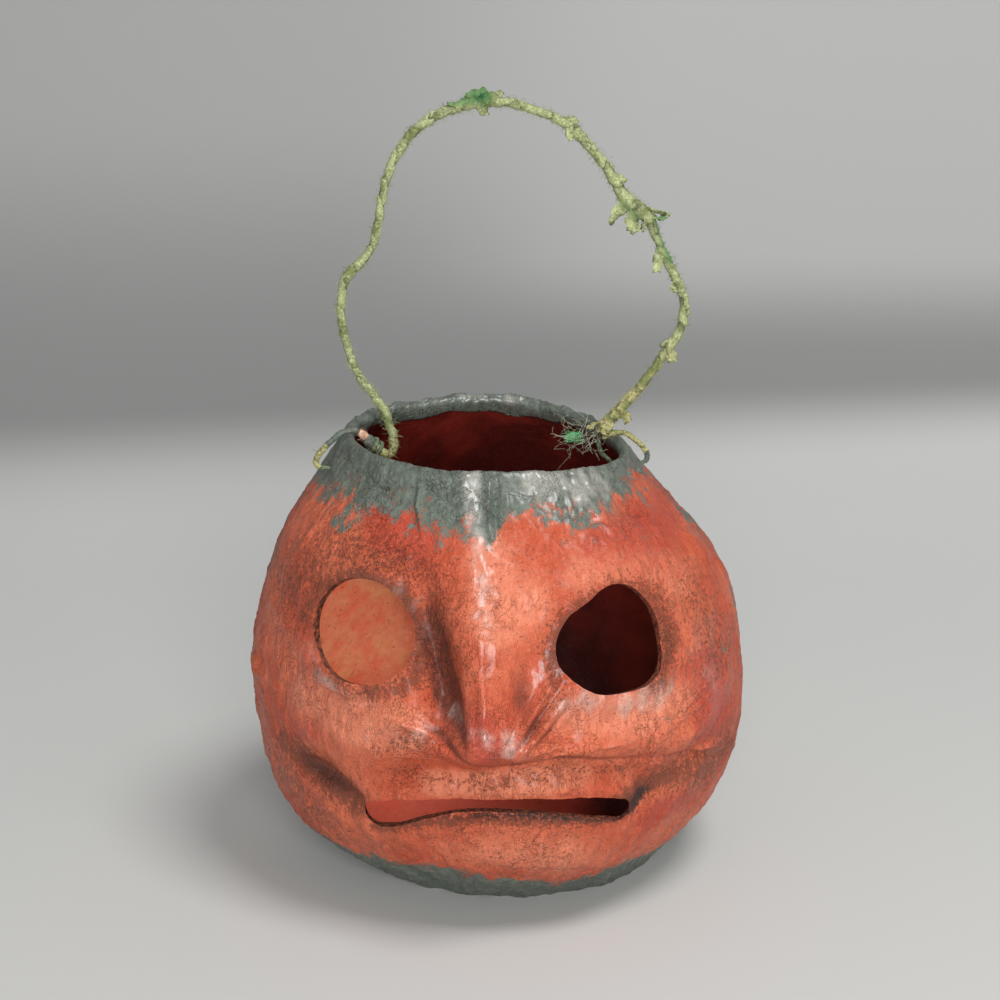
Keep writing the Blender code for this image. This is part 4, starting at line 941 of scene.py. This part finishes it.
# The torn ends
# Where a strip of crepe ends it was torn, not cut, and its end curls away from the wire.
TORN_ENDS = {"left": [  # the hole that they are measured from, then route points and width
    ([(42.5, 118, 0), (44.5, 121.2, 1.2), (47.8, 122.9, 1.8)], 3.4),
    ([(45, 118.5, 0.8), (49, 120.4, 2.4), (51.5, 120, 3)], 3.8),
    ([(48, 118.7, 0), (51.5, 121, -1), (54.5, 121.4, -2)], 2.8),
    ([(39.5, 116.8, 0.5), (37.2, 118, 1.8), (36.2, 118.8, 2)], 2.6),
    ([(47, 118, 0.6), (47.6, 116, 2), (49.2, 115, 2.6)], 3),
    ([(33.5, 114.4, 0.4), (31.8, 115.2, 1.4), (30, 115, 2)], 2.2)],
    "right": [
    ([(-33, 112.8, 0), (-30.2, 113.2, 1.4), (-28.4, 112.4, 2)], 3.4),
    ([(-30, 111.2, 0.6), (-31, 109, 1.8), (-30.2, 107.6, 2.2)], 2.6),
    ([(-15, 94, 0), (-12.8, 95.2, 1.2), (-11.2, 94.8, 1.8)], 3),
    ([(-9.4, 87.5, 0), (-13.4, 84.5, 1.4), (-16, 80.6, 2)], 4),
    ([(-5.2, 85.2, 0), (-1, 84.8, 1), (4.2, 83.8, 1.6)], 3),
    ([(-3.4, 83.6, 0.6), (0.8, 82.8, 1.8), (3.6, 83.2, 2.4)], 2.6),
    ([(-6.4, 85, 0), (-8.4, 81.2, 1.5), (-7.2, 78, 2.4)], 4.4),
    ([(-3, 82.6, 0.8), (-5.2, 80, 2.2), (-4.8, 78.6, 2.6)], 3.6),
    ([(2.6, 73, 0), (1.2, 69, 1.2), (0.8, 65, 1.6)], 3),
    ([(8.5, 61.6, 0), (7, 60, 1.4), (6.6, 58.4, 2)], 2.4),
    ([(6.2, 38.4, 0), (8, 36.8, 1.4), (8.2, 35, 2.2)], 3.6),
    ([(8, 40, 0), (5.2, 41.2, 1.4), (3.8, 40.4, 2)], 2.6),
    ([(-9, 18, 1.2), (-7, 16.8, 2.6), (-5.8, 15, 3)], 3),
    ([(-12, 15, 1.6), (-13.8, 12, 3), (-13.6, 9.2, 3.2)], 3.2),
    ([(-12.8, 14, 0), (-16.5, 14.2, 1), (-19.6, 12.6, 2.2)], 3)]}
ENDS_ACROSS = 4          # faces across a torn end
ends_mesh = bpy.data.meshes.new("torn_crepe_ends")
ends_form = bmesh.new()
torn_ends = [(side, *end) for side, ends in TORN_ENDS.items() for end in ends]
for number, (side, route, width) in enumerate(torn_ends):
    start = span if side == "right" else 0.0
    path, places = smooth_path([(start + x * MM, y * MM, z * MM) for x, y, z in route], 0.0005)
    rows = []
    for k, point in enumerate(path):
        ahead = Vector(path[min(k + 1, len(path) - 1)] - path[max(k - 1, 0)]).normalized()
        turn = 0.9 * math.sin(number * 2.4) + 1.6 * k / len(path) * math.cos(number * 1.7)
        across = ahead.cross(Vector((0.0, math.sin(turn), math.cos(turn)))).normalized()
        lift = ahead.cross(across)
        share = k / (len(path) - 1)
        row = []
        for j in range(ENDS_ACROSS + 1):
            torn = 1.0 + 0.5 * noise.noise(Vector((k * 0.7, j * 3.1, number)))
            aside = (j / ENDS_ACROSS - 0.5) * 1.25 * width * MM * (1.0 - 0.35 * share) * torn
            buckle = 0.0016 * noise.noise(Vector((k * 0.30, j * 0.8, number * 3.3))) * (0.3 + share)
            tip = 0.0009 * noise.noise(Vector((j * 1.9, number * 5.1, 0.0))) * share ** 4
            row.append(ends_form.verts.new(in_bail(Vector(point) + across * aside + lift * buckle + ahead * tip)))
        rows.append(row)
    for low, high in zip(rows, rows[1:]):
        for j in range(ENDS_ACROSS):
            ends_form.faces.new((low[j], low[j + 1], high[j + 1], high[j]))
ends_form.to_mesh(ends_mesh)
ends_form.free()
ends = piece_of("torn_crepe_ends", ends_mesh, crepe("torn_crepe"))
sheet = ends.modifiers.new("sheet", "SOLIDIFY")
sheet.thickness = 0.00016
sheet.offset = 0.0
solid_mesh = final_mesh(ends)
ends.modifiers.clear()
ends.data = solid_mesh
write_moss(solid_mesh)
write(solid_mesh, "lap", [0.6] * len(solid_mesh.vertices))
solid_mesh.shade_smooth()
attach(ends, "bail")

# The loose fibres
# Fine fibres of the crepe and a green tuft hang from the right end of the bail, inside the rim.
# A second green tuft sticks to the paper at its top.
STRAW_SHADES = ((226, 226, 204), (190, 196, 168))
GREEN_SHADES = ((112, 184, 128), (62, 128, 76))
FIBRES = {  # centre from the right hole, count, then spread, length, thickness and curl, and the shades
    "pale_fibres": ((-21.5, 8.8, 0), 52, (5.5, 10, 0.028, 24), STRAW_SHADES),
    "green_tuft": ((-22.5, 9.5, 0), 200, (1.5, 2.6, 0.07, 7), GREEN_SHADES),
    "top_tuft": ((-59.941, 119.2, 0.6), 130, (2, 3.4, 0.06, 8), GREEN_SHADES)}


def fibre_tree():
    """Curled fibres that start near a point and leave it in every direction."""
    graph, given, result = geometry_tree("loose_fibres", [
        ("Seed Mesh", "Geometry"), ("Centre", "Vector"), ("Spread", "Float"), ("Count", "Int"), ("Length", "Float"),
        ("Thickness", "Float"), ("Curl", "Float"), ("Seed", "Int"), ("Fibre", "Material")])
    geo, node = graph.geo, graph.node

    def random_vector(reach, seed):
        return node("FunctionNodeRandomValue", {"data_type": "FLOAT_VECTOR"},
                    {0: (-reach, -reach, -reach), 1: (reach, reach, reach), "Seed": seed})

    start = graph.vector("SCALE", random_vector(1.0, given["Seed"]), given["Spread"])
    start = graph.vector("ADD", start, given["Centre"])
    points = geo("Points", {}, {"Count": given["Count"], "Position": start})
    turn = node("FunctionNodeEulerToRotation", {}, {0: random_vector(3.14, given["Seed"] + 7.0)})
    fibres = threads(graph, points, turn, given["Length"], knots=20, smallest=0.35, seed=given["Seed"] + 3.0,
                     scale=95.0, curl=given["Curl"], sides=4, radius=given["Thickness"])
    fibres = geo("RealizeInstances", {}, {"Geometry": fibres})
    graph.feed(result, geo("SetMaterial", {}, {"Geometry": fibres, "Material": given["Fibre"]}))
    return graph


fibres_tree = fibre_tree()
for number, (name, (centre, count, sizes, shades)) in enumerate(FIBRES.items()):
    x, y, z, spread, length, thickness, curl = (value * MM for value in (*centre, *sizes))
    fibre_mesh = grow(name, bpy.data.meshes.new(name), fibres_tree, {
        "Centre": tuple(in_bail((span + x, y, z))), "Spread": spread, "Count": count, "Length": length,
        "Thickness": thickness, "Curl": curl, "Seed": number * 11 + 1,
        "Fibre": speckled(name, (300.0, 2.0), 0.4, 0.6, *shades, 0.8)})
    tuft = piece_of(name, fibre_mesh)
    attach(tuft, "bail")

# Stage, light and camera
# A grey paper sweep painted with light and shade, a soft lamp high at the right and in front, and a wide one low in
# front of the pumpkin.
CAMERA_PLACE = (0.0, -0.740, 0.342)
CAMERA_PITCH = 16.3
CAMERA_LENS = 83.88
LAMP_AIM = Vector((0.0, 0.0, 0.08))
ROOM_LIGHT, ROOM_STRENGTH = (0.95, 0.97, 1.0, 1.0), 0.32
SWEEP_HALF_WIDTH = 4.0
SWEEP_PROFILE = [        # behind the pumpkin, and up
    (-3.0, 0.0), (0.25, 0.0), (0.45, 0.006), (0.62, 0.04), (0.78, 0.12), (0.90, 0.26), (0.96, 0.5), (1.0, 3.0)]
sweep_mesh = bpy.data.meshes.new("paper_sweep")
sweep_mesh.from_pydata([(side * SWEEP_HALF_WIDTH, y, z) for y, z in SWEEP_PROFILE for side in (-1, 1)], [],
                       [(2 * k, 2 * k + 1, 2 * k + 3, 2 * k + 2) for k in range(len(SWEEP_PROFILE) - 1)])
sweep = add_object("paper_sweep", sweep_mesh)
curve = sweep.modifiers.new("curve", "SUBSURF")
curve.levels = curve.render_levels = 3
sweep_mesh.shade_smooth()
sweep_finish = Finish("sweep_paper")
sweep_x, sweep_z = sweep_finish.along("X"), sweep_finish.along("Z")
# Painted light and shade on the sweep: lighter just where it leaves the floor, a dark band tilted across the bend,
# mid grey above, and lighter at the right.
sweep_painted_light_and_shade = sweep_finish.cover(
    (192, 192, 189),
    (sweep_z, 0.001, 0.006, 1.0, (202, 202, 199)),
    (sweep_z - 0.021 * sweep_x, 0.0086, 0.028, 1.0, (142, 143, 141)),
    (sweep_z, 0.030, 0.160, 1.0, (168, 168, 166)),
    (sweep_z, 0.040, 0.085, sweep_finish.step(sweep_x, -0.12, 0.12), (181, 181, 179)))
sweep_finish.shine(Base_Color=sweep_painted_light_and_shade, Roughness=0.9)
sweep_mesh.materials.append(sweep_finish.material)


def lamp(name, place, size, watts):
    light = bpy.data.lights.new(name, "AREA")
    light.shape = "DISK"
    light.size = size
    light.energy = watts
    holder = add_object(name, light)
    holder.location = place
    holder.rotation_euler = (LAMP_AIM - Vector(place)).to_track_quat("-Z", "Y").to_euler()


lamp("key_lamp", (0.47, -0.42, 1.40), 0.55, 13.0)
lamp("fill_lamp", (0.12, -1.62, 0.58), 0.8, 24.0)
world = bpy.data.worlds.new("room")
bpy.context.scene.world = world
world.use_nodes = True
background = world.node_tree.nodes["Background"].inputs
background["Color"].default_value = ROOM_LIGHT
background["Strength"].default_value = ROOM_STRENGTH
bpy.context.scene.view_settings.view_transform = "Standard"
camera = add_object("camera", bpy.data.cameras.new("camera"))
camera.location = CAMERA_PLACE
camera.rotation_euler = (math.radians(90.0 - CAMERA_PITCH), 0.0, 0.0)
camera.data.lens = CAMERA_LENS
camera.data.sensor_width = 36.0
camera.data.clip_start = 0.01
bpy.context.scene.camera = camera
